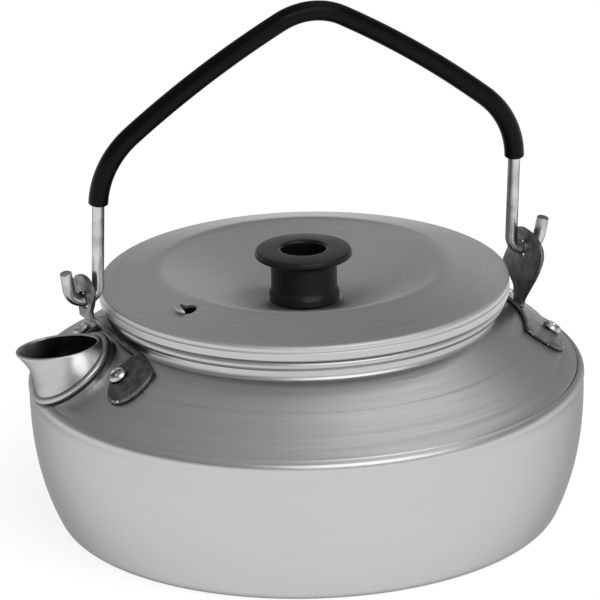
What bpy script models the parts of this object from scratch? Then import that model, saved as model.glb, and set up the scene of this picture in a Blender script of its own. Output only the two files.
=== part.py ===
"""Camping kettle: spun body, swaged spout, lift-off lid with a knob, and a folding bail.

Metres, +Z up. The origin is the centre of the flat base, the spout points to -X,
and the bail swings about a line along X.
"""
import math

import bmesh
import bpy
from mathutils import Matrix, Vector

MM = 0.001

# Clearance between pieces that rest on each other or pass through each other
SEAT_GAP = 0.3 * MM

# Mesh fineness
BODY_STEPS = 48
SMALL_STEPS = 24
RIVET_STEPS = 12

# Body, one spun aluminium shell; the shoulder spans from the neck to the edge bead
NECK_R = 51.0 * MM
SHOULDER_SPAN = 24.0 * MM
EDGE_Z = 39.8 * MM
EDGE_R = 2.5 * MM
BEAD_PROUD = 0.15 * MM
BEAD_START = -20.0
BEAD_END = 64.0
BODY_WALL = 1.0 * MM
BASE_INSET = 12.2 * MM
BASE_CORNER_R = 5.8 * MM
WALL_LEAN = math.radians(25.2)
WALL_FULLNESS = 0.36
SHOULDER_SLOPE = math.radians(33.4)
NECK_FILLET_R = 2.0 * MM
NECK_RISE = 5.85 * MM
RIM_ROLL_R = 1.5 * MM
RIM_LIP_END = 150.0

# Lid, one spun aluminium sheet
LID_SHEET = 0.8 * MM
LID_OVERHANG = 4.15 * MM
LID_BAND_HEIGHT = 4.1 * MM
LID_GROOVE_Z = 2.4 * MM
LID_GROOVE_DEPTH = 0.2 * MM
CREST_INSET = 16.55 * MM
CREST_RISE = 8.3 * MM
CREST_ROUND_R = 6.0 * MM
DISH_FLOOR_R = 10.2 * MM
DISH_DEPTH = 9.8 * MM
SKIRT_GAP = 0.4 * MM
SKIRT_DEPTH = 5.5 * MM
VENT_R = 2.3 * MM
VENT_INSET = 11.25 * MM
VENT_ANGLE = math.radians(209.5)

# Knob, one plastic moulding
KNOB_FOOT_R = 9.5 * MM
KNOB_FOOT_H = 1.6 * MM
KNOB_FOOT_FLARE = 1.4 * MM
KNOB_STEM_R = 8.9 * MM
KNOB_DISC_R = 13.1 * MM
KNOB_DISC_H = 1.8 * MM
KNOB_DISC_SLANT = 1.2 * MM
KNOB_SOFT_R = 0.6 * MM
KNOB_HEIGHT = 13.9 * MM
KNOB_BORE_R = 6.0 * MM
KNOB_FLOOR = 2.8 * MM

# Knob fastening
SCREW_R = 2.0 * MM
SCREW_HEAD_R = 3.6 * MM
SCREW_HEAD_H = 2.2 * MM
SCREW_SLOT_W = 0.9 * MM
SCREW_SLOT_DEPTH = 1.0 * MM
SCREW_END = 1.2 * MM
WASHER_R = 5.0 * MM
WASHER_H = 1.0 * MM
NUT_FLATS = 7.0 * MM
NUT_H = 3.2 * MM

# Spout, one turned aluminium tube seated on a flat collar in the shoulder
SPOUT_TILT = math.radians(37.0)
SPOUT_INSET = 10.4 * MM
SPOUT_SEAT_RISE = 0.5 * MM
SPOUT_WALL = 0.9 * MM
SPOUT_TUBE_R = 11.0 * MM
SPOUT_BORE_GAP = 0.4 * MM
SPOUT_RING_R = 12.9 * MM
SPOUT_RING_BEAD_R = 0.9 * MM
THROAT_R = 8.45 * MM
THROAT_S = 11.0 * MM
ROOT_FLARE_R = 15.0 * MM
MOUTH_FLARE_R = 44.0 * MM
MOUTH_S = 9.55 * MM
MOUTH_TILT = math.radians(6.0)
SWAGE_R = 12.4 * MM
SWAGE_H = 0.9 * MM
SWAGE_DEPTH = 2.7 * MM

# Ears, pressed steel sheet riveted to the shoulder; each tab is turned a little and hangs askew
EAR_SHEET = 1.2 * MM
EAR_HOLE_R = 2.5 * MM
HINGE_RISE = 5.5 * MM
SPOUT_EAR_LEAN = math.radians(5.0)
SPOUT_EAR_TURN = math.radians(12.0)
SPOUT_EAR_SKEW = math.radians(16.0)
SPOUT_EAR_TOP = 7.3 * MM
SPOUT_EAR_HEAD_H = 9.4 * MM
SPOUT_EAR_HALF = 6.6 * MM
SPOUT_EAR_WAIST = 3.7 * MM
SPOUT_EAR_NECK_GAP = 1.7 * MM
SPOUT_EAR_BEND = 4.2 * MM
SPOUT_EAR_SPREAD = 18.4 * MM
SPOUT_EAR_CURVE = 2.0
SPOUT_EAR_RIVET_INSET = 6.6 * MM
SPOUT_EAR_RIVET_Y = 18.4 * MM
SPOUT_FOOT_LENGTH = 13.4 * MM
SPOUT_FOOT_WIDTH = 14.0 * MM
REAR_EAR_LEAN = math.radians(5.5)
REAR_EAR_TURN = math.radians(6.0)
REAR_EAR_TOP = 5.8 * MM
REAR_EAR_HALF = 13.0 * MM
REAR_EAR_NECK_HALF = 2.7 * MM
REAR_FLANGE_INSET = 3.0 * MM
REAR_FLANGE_WIDTH = 11.2 * MM
REAR_FLANGE_HALF = 23.4 * MM
REAR_FLANGE_FAR_HALF = 32.0 * MM
REAR_RIVET_INSET = 7.2 * MM
REAR_RIVET_END_INSET = 12.4 * MM

# Outlines of the ears' feet: shares of the length outward, and of the width from the rivet or middle
SPOUT_FOOT = ((0.0, -0.11), (0.32, -0.25), (0.61, -0.16), (0.97, 0.15), (1.0, 0.42), (0.86, 0.62),
              (0.58, 0.73), (0.2, 0.74), (0.1, 0.45), (0.0, 0.18))
REAR_FLANGE_END = ((0.0, 0.9), (0.12, 0.98), (0.35, 1.0), (0.78, 1.0), (0.94, 0.9), (1.0, 0.72))

# Rear ear's outline above its neck: shares of the half width, and of the height or the depth
REAR_EAR_NEAR = ((-0.23, -0.86), (-0.52, -0.58), (-0.82, -0.28), (-0.97, -0.04), (-1.0, 0.18),
                 (-0.93, 0.52), (-0.74, 0.82), (-0.4, 1.0), (0.08, 1.0))
REAR_EAR_FAR = ((0.33, 0.84), (0.52, 0.4), (0.64, -0.08), (0.84, -0.32), (0.9, -0.44), (0.76, -0.54),
                (0.45, -0.61), (0.22, -0.74))

# Rivets, hollow at the head
RIVET_R = 1.6 * MM
RIVET_HEAD_R = 2.7 * MM
RIVET_HEAD_H = 1.3 * MM
RIVET_WELL_R = 1.3 * MM
RIVET_WELL_DEPTH = 1.0 * MM
RIVET_TAIL_R = 2.5 * MM
RIVET_TAIL_H = 0.9 * MM

# Bail, a bent wire with a plastic sleeve over its upper part; it hangs a little toward the rear
WIRE_R = 1.65 * MM
BAIL_LID_GAP = 0.5 * MM
BAIL_OFFSET = 0.55 * MM
BAIL_TOP = 77.9 * MM
BAIL_BEND_R = 25.6 * MM
BAIL_BEND_TURN = math.radians(49.3)
BAIL_FLANK_TURN = math.radians(11.0)
BAIL_CREST_R = 17.4 * MM
HOOK_R = 4.0 * MM
HOOK_REACH = 0.5 * MM
HOOK_TURN = math.radians(170.0)
HOOK_TIP = 5.4 * MM
SLEEVE_R = 2.7 * MM
SLEEVE_LEG = 0.5 * MM
BAIL_REST_LEAN = math.radians(8.3)


def arc(centre, radius, start, end, steps):
    """Return points along an arc, angles in degrees from +X toward +Z."""
    points = []
    for i in range(steps + 1):
        angle = math.radians(start + (end - start) * i / steps)
        points.append((centre[0] + radius * math.cos(angle), centre[1] + radius * math.sin(angle)))
    return points


def rounded(corners, steps=3):
    """Return an open line through (x, z, radius) corners, each rounded by its radius."""
    line = []
    for i, (x, z, radius) in enumerate(corners):
        here = Vector((x, z))
        if radius == 0 or i in (0, len(corners) - 1):
            line.append((x, z))
            continue
        back = (Vector(corners[i - 1][:2]) - here).normalized()
        ahead = (Vector(corners[i + 1][:2]) - here).normalized()
        half = math.acos(max(-1.0, min(1.0, back.dot(ahead)))) / 2
        reach = radius / math.tan(half)
        first = here + back * reach
        last = here + ahead * reach
        centre = here + (back + ahead).normalized() * (radius / math.sin(half))
        start = first - centre
        turn = start.angle_signed(last - centre)
        for k in range(steps + 1):
            spoke = start.copy()
            spoke.rotate(Matrix.Rotation(-turn * k / steps, 2))
            line.append(tuple(centre + spoke))
    return line


def offset(line, distance):
    """Return the line moved sideways to its left by distance, with mitred corners."""
    points = [Vector(p) for p in line]
    normals = []
    for a, b in zip(points, points[1:]):
        along = (b - a).normalized()
        normals.append(Vector((-along.y, along.x)))
    moved = []
    for i, point in enumerate(points):
        before = normals[max(i - 1, 0)]
        after = normals[min(i, len(normals) - 1)]
        middle = (before + after).normalized()
        moved.append(tuple(point + middle * (distance / middle.dot(after))))
    return moved


def bezier(p0, p1, p2, p3, steps):
    """Return points along a cubic curve."""
    line = []
    for i in range(steps + 1):
        t = i / steps
        u = 1 - t
        weights = (u ** 3, 3 * u * u * t, 3 * u * t * t, t ** 3)
        line.append(tuple(sum(w * p[k] for w, p in zip(weights, (p0, p1, p2, p3))) for k in (0, 1)))
    return line


# Radii and heights that follow from the driving dimensions
BODY_R = NECK_R + SHOULDER_SPAN
BASE_R = BODY_R - BASE_INSET
LID_R = NECK_R + LID_OVERHANG
CREST_R = LID_R - CREST_INSET
VENT_RADIUS = LID_R - VENT_INSET
SPOUT_RADIUS = BODY_R - SPOUT_INSET
BAIL_HALF_SPAN = LID_R + BAIL_LID_GAP + WIRE_R + BAIL_OFFSET
SPOUT_EAR_X = BAIL_HALF_SPAN + HOOK_R - HOOK_REACH - BAIL_OFFSET
REAR_EAR_X = BAIL_HALF_SPAN + HOOK_R - HOOK_REACH + BAIL_OFFSET
SPOUT_EAR_WEB_R = NECK_R + SPOUT_EAR_NECK_GAP
SPOUT_EAR_RIVET_R = SPOUT_EAR_WEB_R + SPOUT_EAR_RIVET_INSET
SPOUT_EAR_RIVET_ANGLE = math.asin(SPOUT_EAR_RIVET_Y / SPOUT_EAR_RIVET_R)
REAR_FLANGE_IN_R = REAR_EAR_X - REAR_FLANGE_INSET
REAR_EAR_RIVET_R = REAR_FLANGE_IN_R + REAR_RIVET_INSET
REAR_EAR_NEAR_ANGLE = math.asin((REAR_FLANGE_HALF - REAR_RIVET_END_INSET) / REAR_EAR_RIVET_R)
REAR_EAR_FAR_ANGLE = math.asin((REAR_FLANGE_FAR_HALF - REAR_RIVET_END_INSET) / REAR_EAR_RIVET_R)
WALL_TOP_R = BODY_R - BEAD_PROUD
EDGE_CENTRE = (WALL_TOP_R - EDGE_R, EDGE_Z)
SHOULDER_START_R = EDGE_CENTRE[0] + EDGE_R * math.sin(SHOULDER_SLOPE)
SHOULDER_START_Z = EDGE_CENTRE[1] + EDGE_R * math.cos(SHOULDER_SLOPE)


def shoulder_z(radius):
    """Return the height of the shoulder cone's outer face at a radius."""
    return SHOULDER_START_Z + (SHOULDER_START_R - radius) * math.tan(SHOULDER_SLOPE)


RIM_Z = shoulder_z(NECK_R) + NECK_RISE
MOUTH_R = NECK_R - BODY_WALL
LID_Z = RIM_Z + SEAT_GAP
DISH_Z = LID_Z + CREST_RISE - DISH_DEPTH
HINGE_Z = RIM_Z + HINGE_RISE
SCREW_HOLE_R = SCREW_R + SEAT_GAP
RIVET_HOLE_R = RIVET_R + SEAT_GAP
KNOB_Z = DISH_Z + SEAT_GAP


def start_scene():
    """Empty the scene and return the collections for the parts and for the cutters."""
    for old in list(bpy.data.objects):
        bpy.data.objects.remove(old, do_unlink=True)
    parts = bpy.data.collections.new("camping_kettle")
    cutters = bpy.data.collections.new("cutters")
    for collection in (parts, cutters):
        bpy.context.scene.collection.children.link(collection)
    return parts, cutters


PARTS, CUTTERS = start_scene()


def material(name, colour, roughness, metallic):
    """Return a Principled material."""
    made = bpy.data.materials.new(name)
    made.use_nodes = True
    shader = made.node_tree.nodes["Principled BSDF"]
    shader.inputs["Base Color"].default_value = (*colour, 1.0)
    shader.inputs["Roughness"].default_value = roughness
    shader.inputs["Metallic"].default_value = metallic
    return made


def add_object(name, data, finish):
    """Add an object to the kettle, or to the cutters when it has no finish."""
    made = bpy.data.objects.new(name, data)
    if finish is None:
        CUTTERS.objects.link(made)
        made.hide_render = True
        made.display_type = "WIRE"
    else:
        PARTS.objects.link(made)
        data.materials.append(finish)
    return made


def turned(name, profile, steps, finish=None, closed=False):
    """Turn a profile about Z; a closed profile makes a ring, an open one ends on the axis."""
    mesh = bpy.data.meshes.new(name)
    edges = [(i, i + 1) for i in range(len(profile) - 1)]
    if closed:
        edges.append((len(profile) - 1, 0))
    mesh.from_pydata([(x, 0.0, z) for x, z in profile], edges, [])
    made = add_object(name, mesh, finish)
    screw = made.modifiers.new("turn", "SCREW")
    screw.axis = "Z"
    screw.steps = steps
    screw.render_steps = steps
    screw.use_merge_vertices = True
    screw.merge_threshold = 0.00001
    screw.use_smooth_shade = True
    return made


def cylinder(name, radius, low, high, steps, finish=None):
    """Return a cylinder along its own Z between two heights."""
    mesh = bpy.data.meshes.new(name)
    shape = bmesh.new()
    bmesh.ops.create_cone(shape, cap_ends=True, segments=steps, radius1=radius, radius2=radius,
                          depth=high - low, matrix=Matrix.Translation((0, 0, (low + high) / 2)))
    shape.to_mesh(mesh)
    shape.free()
    return add_object(name, mesh, finish)


def plate(name, outline, half_thickness, finish=None):
    """Return a flat plate from an outline in its own XY plane, as a mesh."""
    curve = bpy.data.curves.new(name, "CURVE")
    curve.dimensions = "2D"
    curve.fill_mode = "BOTH"
    curve.extrude = half_thickness
    spline = curve.splines.new("POLY")
    spline.points.add(len(outline) - 1)
    for point, (x, y) in zip(spline.points, outline):
        point.co = (x, y, 0.0, 1.0)
    spline.use_cyclic_u = True
    drawn = bpy.data.objects.new(name + "_outline", curve)
    return meshed(name, drawn, finish)


def meshed(name, drawn, finish):
    """Turn a curve object into a welded mesh object in the same place."""
    bpy.context.scene.collection.objects.link(drawn)
    bpy.context.view_layer.update()
    graph = bpy.context.evaluated_depsgraph_get()
    mesh = bpy.data.meshes.new_from_object(drawn.evaluated_get(graph))
    weld = bmesh.new()
    weld.from_mesh(mesh)
    bmesh.ops.remove_doubles(weld, verts=weld.verts, dist=0.000001)
    bmesh.ops.recalc_face_normals(weld, faces=weld.faces)
    weld.to_mesh(mesh)
    weld.free()
    mesh.name = name
    made = add_object(name, mesh, finish)
    made.matrix_world = drawn.matrix_world
    bpy.data.objects.remove(drawn, do_unlink=True)
    return made


def tube(name, route, radius, resolution, finish=None):
    """Return a round wire along a route, as a mesh with welded caps."""
    curve = bpy.data.curves.new(name, "CURVE")
    curve.dimensions = "3D"
    curve.bevel_depth = radius
    curve.bevel_resolution = resolution
    curve.use_fill_caps = True
    spline = curve.splines.new("POLY")
    spline.points.add(len(route) - 1)
    for point, place in zip(spline.points, route):
        point.co = (*place, 1.0)
    return meshed(name, bpy.data.objects.new(name + "_route", curve), finish)


def boolean(target, tool, operation):
    """Cut or join a tool into a target."""
    step = target.modifiers.new(operation.lower() + "_" + tool.name, "BOOLEAN")
    step.operation = operation
    step.object = tool
    step.solver = "EXACT"


def body_side():
    """Return the plain outer line of the body, from the base's centre up to the neck."""
    corner_lean = math.degrees(WALL_LEAN)
    line = [(0.0, 0.0)]
    line += arc((BASE_R, BASE_CORNER_R), BASE_CORNER_R, -90, -corner_lean, 3)
    start = Vector(line[-1])
    end = Vector((WALL_TOP_R, EDGE_Z))
    handle = WALL_FULLNESS * (end.y - start.y)
    lean = Vector((math.sin(WALL_LEAN), math.cos(WALL_LEAN)))
    line += bezier(start, start + lean * handle, end - Vector((0, handle)), end, 5)[1:]
    line += arc(EDGE_CENTRE, EDGE_R, 0, 90 - math.degrees(SHOULDER_SLOPE), 3)[1:]
    turn = math.radians(90) - SHOULDER_SLOPE
    fillet_z = shoulder_z(NECK_R) + NECK_FILLET_R * math.tan(turn / 2)
    line += arc((NECK_R + NECK_FILLET_R, fillet_z), NECK_FILLET_R, 180 + math.degrees(turn), 180, 2)
    return line


def body_outline():
    """Return the outer line of the body with its edge bead and rolled rim, top to bottom."""
    plain = body_side()
    wall = [p for p in plain if p[1] < EDGE_Z - EDGE_R]
    bead_r = EDGE_R + BEAD_PROUD
    low = EDGE_CENTRE[1] + bead_r * math.sin(math.radians(BEAD_START))
    wall.append((WALL_TOP_R - BEAD_PROUD, low - 2 * BEAD_PROUD))
    bead = arc(EDGE_CENTRE, bead_r, BEAD_START, BEAD_END, 4)
    groove_r = SHOULDER_START_R - 4 * BEAD_PROUD
    shoulder = [(groove_r, shoulder_z(groove_r) - 2 * BEAD_PROUD),
                (groove_r - 3 * BEAD_PROUD, shoulder_z(groove_r - 3 * BEAD_PROUD))]
    neck = plain[-3:]
    roll = (NECK_R + 1.1 * RIM_ROLL_R, RIM_Z - RIM_ROLL_R)
    lip_r = roll[0] - MOUTH_R
    rim = [(NECK_R, roll[1] - 0.6 * RIM_ROLL_R)]
    rim += arc(roll, RIM_ROLL_R, -90, 90, 5)
    rim += arc((roll[0], RIM_Z - lip_r), lip_r, 90, RIM_LIP_END, 3)[1:]
    closing_z = RIM_Z - lip_r
    rim += [(MOUTH_R - BODY_WALL, closing_z), (0.0, closing_z)]
    line = wall + bead + shoulder + neck + rim
    return line[::-1]


def shoulder_frame(radius, angle):
    """Return the place on the shoulder at a radius and angle, with Z along its normal."""
    place = Matrix.Rotation(angle, 4, "Z")
    place @= Matrix.Translation((radius, 0, shoulder_z(radius)))
    return place @ Matrix.Rotation(SHOULDER_SLOPE, 4, "Y")


def spout_frame():
    """Return the spout's frame: origin on its seat, Z along its axis."""
    seat = Vector((-SPOUT_RADIUS, 0, shoulder_z(SPOUT_RADIUS) + SPOUT_SEAT_RISE))
    return Matrix.Translation(seat) @ Matrix.Rotation(-SPOUT_TILT, 4, "Y")


RIVETS = {
    "spout_ear_rivet_near": shoulder_frame(SPOUT_EAR_RIVET_R, math.pi + SPOUT_EAR_RIVET_ANGLE),
    "spout_ear_rivet_far": shoulder_frame(SPOUT_EAR_RIVET_R, math.pi - SPOUT_EAR_RIVET_ANGLE),
    "rear_ear_rivet_near": shoulder_frame(REAR_EAR_RIVET_R, -REAR_EAR_NEAR_ANGLE),
    "rear_ear_rivet_far": shoulder_frame(REAR_EAR_RIVET_R, REAR_EAR_FAR_ANGLE),
}


def rivet_hole_cutters():
    """Return one cutter for each rivet's hole through the ear's foot and the shoulder."""
    reach = 3 * (BODY_WALL + EAR_SHEET)
    cutters = {}
    for name, place in RIVETS.items():
        cutter = cylinder(name + "_hole", RIVET_HOLE_R, -reach, reach, RIVET_STEPS)
        cutter.matrix_world = place
        cutters[name] = cutter
    return cutters


def make_body(finish, holes):
    """Make the kettle body: a turned solid, hollowed, with the spout's collar and seat."""
    body = turned("kettle_body", body_outline(), BODY_STEPS, finish)
    seat_r = SPOUT_RING_R + SEAT_GAP
    collar = cylinder("spout_collar", seat_r, -6 * BODY_WALL, 2 * BODY_WALL, SMALL_STEPS)
    collar.matrix_world = spout_frame()
    boolean(body, collar, "UNION")
    inside = offset(body_side(), BODY_WALL)
    top_z = RIM_Z + BODY_WALL
    inside += [(MOUTH_R, top_z), (0.0, top_z)]
    cavity = turned("cavity", inside[::-1], BODY_STEPS)
    boolean(body, cavity, "DIFFERENCE")
    bore_r = SPOUT_TUBE_R + SPOUT_BORE_GAP
    clear_r = seat_r + SEAT_GAP
    depth = 6 * BODY_WALL
    seat = turned("spout_seat", [(0.0, depth), (clear_r, depth), (clear_r, 0.0), (bore_r, 0.0),
                                 (bore_r, -depth), (0.0, -depth)], SMALL_STEPS)
    seat.matrix_world = spout_frame()
    boolean(body, seat, "DIFFERENCE")
    for cutter in holes.values():
        boolean(body, cutter, "DIFFERENCE")
    return body


def spout_side():
    """Return the flared outer line of the spout above its ring, bottom to top."""
    foot_s = SEAT_GAP + 2 * SPOUT_RING_BEAD_R
    root = [foot_s + (THROAT_S - foot_s) * i / 5 for i in range(6)]
    line = [(THROAT_R + ROOT_FLARE_R - math.sqrt(ROOT_FLARE_R ** 2 - (THROAT_S - s) ** 2), s)
            for s in root]
    for i in range(1, 4):
        s = THROAT_S + THROAT_R * i / 2
        line.append((THROAT_R + MOUTH_FLARE_R - math.sqrt(MOUTH_FLARE_R ** 2 - (s - THROAT_S) ** 2), s))
    return line


def make_spout(finish):
    """Make the spout: a turned tube with a seating ring and a swaged lip inside the body."""
    side = spout_side()
    bore_r = SPOUT_TUBE_R - SPOUT_WALL
    inner = [(r, s) for r, s in offset(side, SPOUT_WALL) if r < bore_r]
    bead_centre = (SPOUT_RING_R - SPOUT_RING_BEAD_R, SEAT_GAP + SPOUT_RING_BEAD_R)
    ring = arc(bead_centre, SPOUT_RING_BEAD_R, 90, -90, 4)
    swage_s = -SWAGE_DEPTH - SWAGE_H
    profile = side[::-1] + ring
    profile += [(SPOUT_TUBE_R, SEAT_GAP), (SPOUT_TUBE_R, -SWAGE_DEPTH), (SWAGE_R, -SWAGE_DEPTH),
                (SWAGE_R, swage_s), (bore_r, swage_s), (bore_r, side[0][1])]
    profile += inner
    spout = turned("spout", profile, SMALL_STEPS, finish, closed=True)
    spout.matrix_world = spout_frame()
    reach = 3 * SPOUT_RING_R
    trim = cylinder("mouth_trim", reach, 0.0, reach, 8)
    centre = spout_frame() @ Vector((0, 0, MOUTH_S))
    trim.matrix_world = Matrix.Translation(centre) @ Matrix.Rotation(-MOUTH_TILT, 4, "Y")
    boolean(spout, trim, "DIFFERENCE")
    return spout


def make_lid(finish):
    """Make the lid: a dished top, a rolled side band and a skirt that drops into the neck."""
    rim_z = LID_Z + LID_BAND_HEIGHT
    groove_z = LID_Z + LID_GROOVE_Z
    groove_half = 1.25 * LID_GROOVE_DEPTH
    skirt_r = MOUTH_R - SKIRT_GAP
    line = rounded([
        (SCREW_HOLE_R, DISH_Z, 0),
        (DISH_FLOOR_R, DISH_Z, LID_SHEET),
        (CREST_R, LID_Z + CREST_RISE, CREST_ROUND_R),
        (LID_R, rim_z, 1.25 * LID_SHEET),
        (LID_R, groove_z + groove_half, 0),
        (LID_R - LID_GROOVE_DEPTH, groove_z, 0),
        (LID_R, groove_z - groove_half, 0),
        (LID_R, LID_Z, 0.6 * LID_SHEET),
        (skirt_r, LID_Z, 0),
        (skirt_r, LID_Z - SKIRT_DEPTH, 0),
    ], 2)
    profile = line + offset(line, -LID_SHEET)[::-1]
    lid = turned("lid", profile, BODY_STEPS, finish, closed=True)
    vent = cylinder("vent_hole", VENT_R, LID_Z, LID_Z + 2 * CREST_RISE, RIVET_STEPS)
    vent.matrix_world = Matrix.Rotation(VENT_ANGLE, 4, "Z") @ Matrix.Translation((VENT_RADIUS, 0, 0))
    boolean(lid, vent, "DIFFERENCE")
    return lid


def make_knob(finish):
    """Make the knob: a hollow stem on a foot, with a rounded disc on top."""
    top = KNOB_Z + KNOB_HEIGHT
    disc_low = top - SEAT_GAP - KNOB_DISC_H
    floor = KNOB_Z + KNOB_FLOOR
    edge_r = 0.45 * KNOB_DISC_H
    line = rounded([
        (SCREW_HOLE_R, floor, 0),
        (KNOB_BORE_R, floor, 0),
        (KNOB_BORE_R, top, KNOB_SOFT_R),
        (KNOB_DISC_R, top - SEAT_GAP, edge_r),
        (KNOB_DISC_R, disc_low, edge_r),
        (KNOB_STEM_R, disc_low - KNOB_DISC_SLANT, KNOB_SOFT_R),
        (KNOB_STEM_R, KNOB_Z + KNOB_FOOT_H + KNOB_FOOT_FLARE, 0),
        (KNOB_FOOT_R, KNOB_Z + KNOB_FOOT_H, 0),
        (KNOB_FOOT_R, KNOB_Z, 0),
        (SCREW_HOLE_R, KNOB_Z, 0),
    ], 2)
    return turned("lid_knob", line, SMALL_STEPS, finish, closed=True)


def make_knob_fastening(finish):
    """Make the screw down the knob's bore, and the washer and nut under the lid."""
    head_z = KNOB_Z + KNOB_FLOOR + SEAT_GAP
    washer_z = DISH_Z - LID_SHEET - SEAT_GAP - WASHER_H
    nut_z = washer_z - SEAT_GAP - NUT_H
    head_top = head_z + SCREW_HEAD_H
    screw = turned("knob_screw", [
        (0.0, head_top), (0.7 * SCREW_HEAD_R, head_top), (SCREW_HEAD_R, head_z + 0.6 * SCREW_HEAD_H),
        (SCREW_HEAD_R, head_z), (SCREW_R, head_z), (SCREW_R, nut_z - SCREW_END),
        (0.0, nut_z - SCREW_END)], RIVET_STEPS, finish)
    slot_mesh = bpy.data.meshes.new("screw_slot")
    shape = bmesh.new()
    size = Matrix.Diagonal((3 * SCREW_HEAD_R, SCREW_SLOT_W, 2 * SCREW_SLOT_DEPTH, 1.0))
    bmesh.ops.create_cube(shape, size=1.0, matrix=Matrix.Translation((0, 0, head_top)) @ size)
    shape.to_mesh(slot_mesh)
    shape.free()
    boolean(screw, add_object("screw_slot", slot_mesh, None), "DIFFERENCE")
    turned("knob_washer", [
        (SCREW_HOLE_R, washer_z + WASHER_H), (WASHER_R, washer_z + WASHER_H),
        (WASHER_R, washer_z), (SCREW_HOLE_R, washer_z)], RIVET_STEPS, finish, closed=True)
    nut = cylinder("knob_nut", NUT_FLATS / 2 / math.cos(math.pi / 6), nut_z, nut_z + NUT_H, 6, finish)
    bore = cylinder("nut_bore", SCREW_HOLE_R, nut_z - NUT_H, nut_z + 2 * NUT_H, RIVET_STEPS)
    boolean(nut, bore, "DIFFERENCE")


def shoulder_sheet(name, inner_r, outer_r, finish=None):
    """Return a ring of ear sheet lying on the shoulder between two radii."""
    def lifted(radius, height):
        return (radius + height * math.sin(SHOULDER_SLOPE),
                shoulder_z(radius) + height * math.cos(SHOULDER_SLOPE))
    low = SEAT_GAP
    high = SEAT_GAP + EAR_SHEET
    profile = [lifted(inner_r, high), lifted(outer_r, high), lifted(outer_r, low), lifted(inner_r, low)]
    return turned(name, profile, BODY_STEPS, finish, closed=True)


def foot_prism(name, outline, finish=None):
    """Return an upright prism over a foot's outline in plan."""
    prism = plate(name, outline, HINGE_Z, finish)
    prism.matrix_world = Matrix.Translation((0, 0, HINGE_Z))
    return prism


def ear_place(ear_x, lean, turn):
    """Return the frame of an ear's tab on the hinge line, with X to the far side and Y up."""
    place = Matrix.Translation((ear_x, 0, HINGE_Z)) @ Matrix.Rotation(turn, 4, "Z")
    place @= Matrix.Rotation(lean, 4, "Y")
    return place @ Matrix(((0, 0, 1, 0), (1, 0, 0, 0), (0, 1, 0, 0), (0, 0, 0, 1)))


def ear_hole(ear, ear_x):
    """Cut the bail's hole through an ear."""
    reach = 5 * EAR_SHEET
    hole = cylinder(ear.name + "_hole", EAR_HOLE_R, -reach, reach, SMALL_STEPS)
    hole.matrix_world = Matrix.Translation((ear_x, 0, HINGE_Z)) @ Matrix.Rotation(math.pi / 2, 4, "Y")
    boolean(ear, hole, "DIFFERENCE")


def spout_ear_tab():
    """Return the tab's outline, x to the far side and y up from the hinge line: a skewed oval on a waist."""
    low = -SPOUT_EAR_BEND - EAR_SHEET
    middle = SPOUT_EAR_TOP - SPOUT_EAR_HEAD_H / 2
    oval = []
    for x, y in arc((0, 0), 1.0, -38, 218, 18):
        spot = Vector((x * SPOUT_EAR_HALF, y * SPOUT_EAR_HEAD_H / 2))
        spot.rotate(Matrix.Rotation(-SPOUT_EAR_SKEW, 2))
        oval.append((spot.x, spot.y + middle))
    neck = [(SPOUT_EAR_WAIST, low), (SPOUT_EAR_WAIST, -EAR_HOLE_R)]
    return neck + oval + [(-x, y) for x, y in neck[::-1]]


def spout_ear_web(name):
    """Return the sloping web from the shoulder up to the tab, as a bent grid with thickness."""
    columns = 12
    rows = 4
    foot_z = shoulder_z(SPOUT_EAR_WEB_R) + 0.8 * EAR_SHEET
    top_z = HINGE_Z - SPOUT_EAR_BEND
    top_r = SPOUT_EAR_X - SPOUT_EAR_BEND * math.tan(SPOUT_EAR_LEAN)
    spread = math.asin(SPOUT_EAR_SPREAD / SPOUT_EAR_WEB_R)
    waist = SPOUT_EAR_WAIST / top_r
    mesh = bpy.data.meshes.new(name)
    shape = bmesh.new()
    bmesh.ops.create_grid(shape, x_segments=columns, y_segments=rows, size=1.0)
    for vert in shape.verts:
        across = vert.co.x
        rise = (vert.co.y + 1) / 2
        angle = across * (waist + (spread - waist) * (1 - rise) ** SPOUT_EAR_CURVE)
        radius = SPOUT_EAR_WEB_R + (top_r - SPOUT_EAR_WEB_R) * rise
        middle = Vector((-radius, 0, 0))
        aside = Vector((-radius * math.cos(angle), -radius * math.sin(angle), 0)) - middle
        aside.rotate(Matrix.Rotation(SPOUT_EAR_TURN * rise ** 2, 3, "Z"))
        vert.co = middle + aside + Vector((0, 0, foot_z + (top_z - foot_z) * rise))
    bmesh.ops.recalc_face_normals(shape, faces=shape.faces)
    shape.to_mesh(mesh)
    shape.free()
    web = add_object(name, mesh, None)
    thick = web.modifiers.new("sheet", "SOLIDIFY")
    thick.thickness = EAR_SHEET
    thick.offset = 0.0
    thick.use_even_offset = True
    return web


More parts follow.
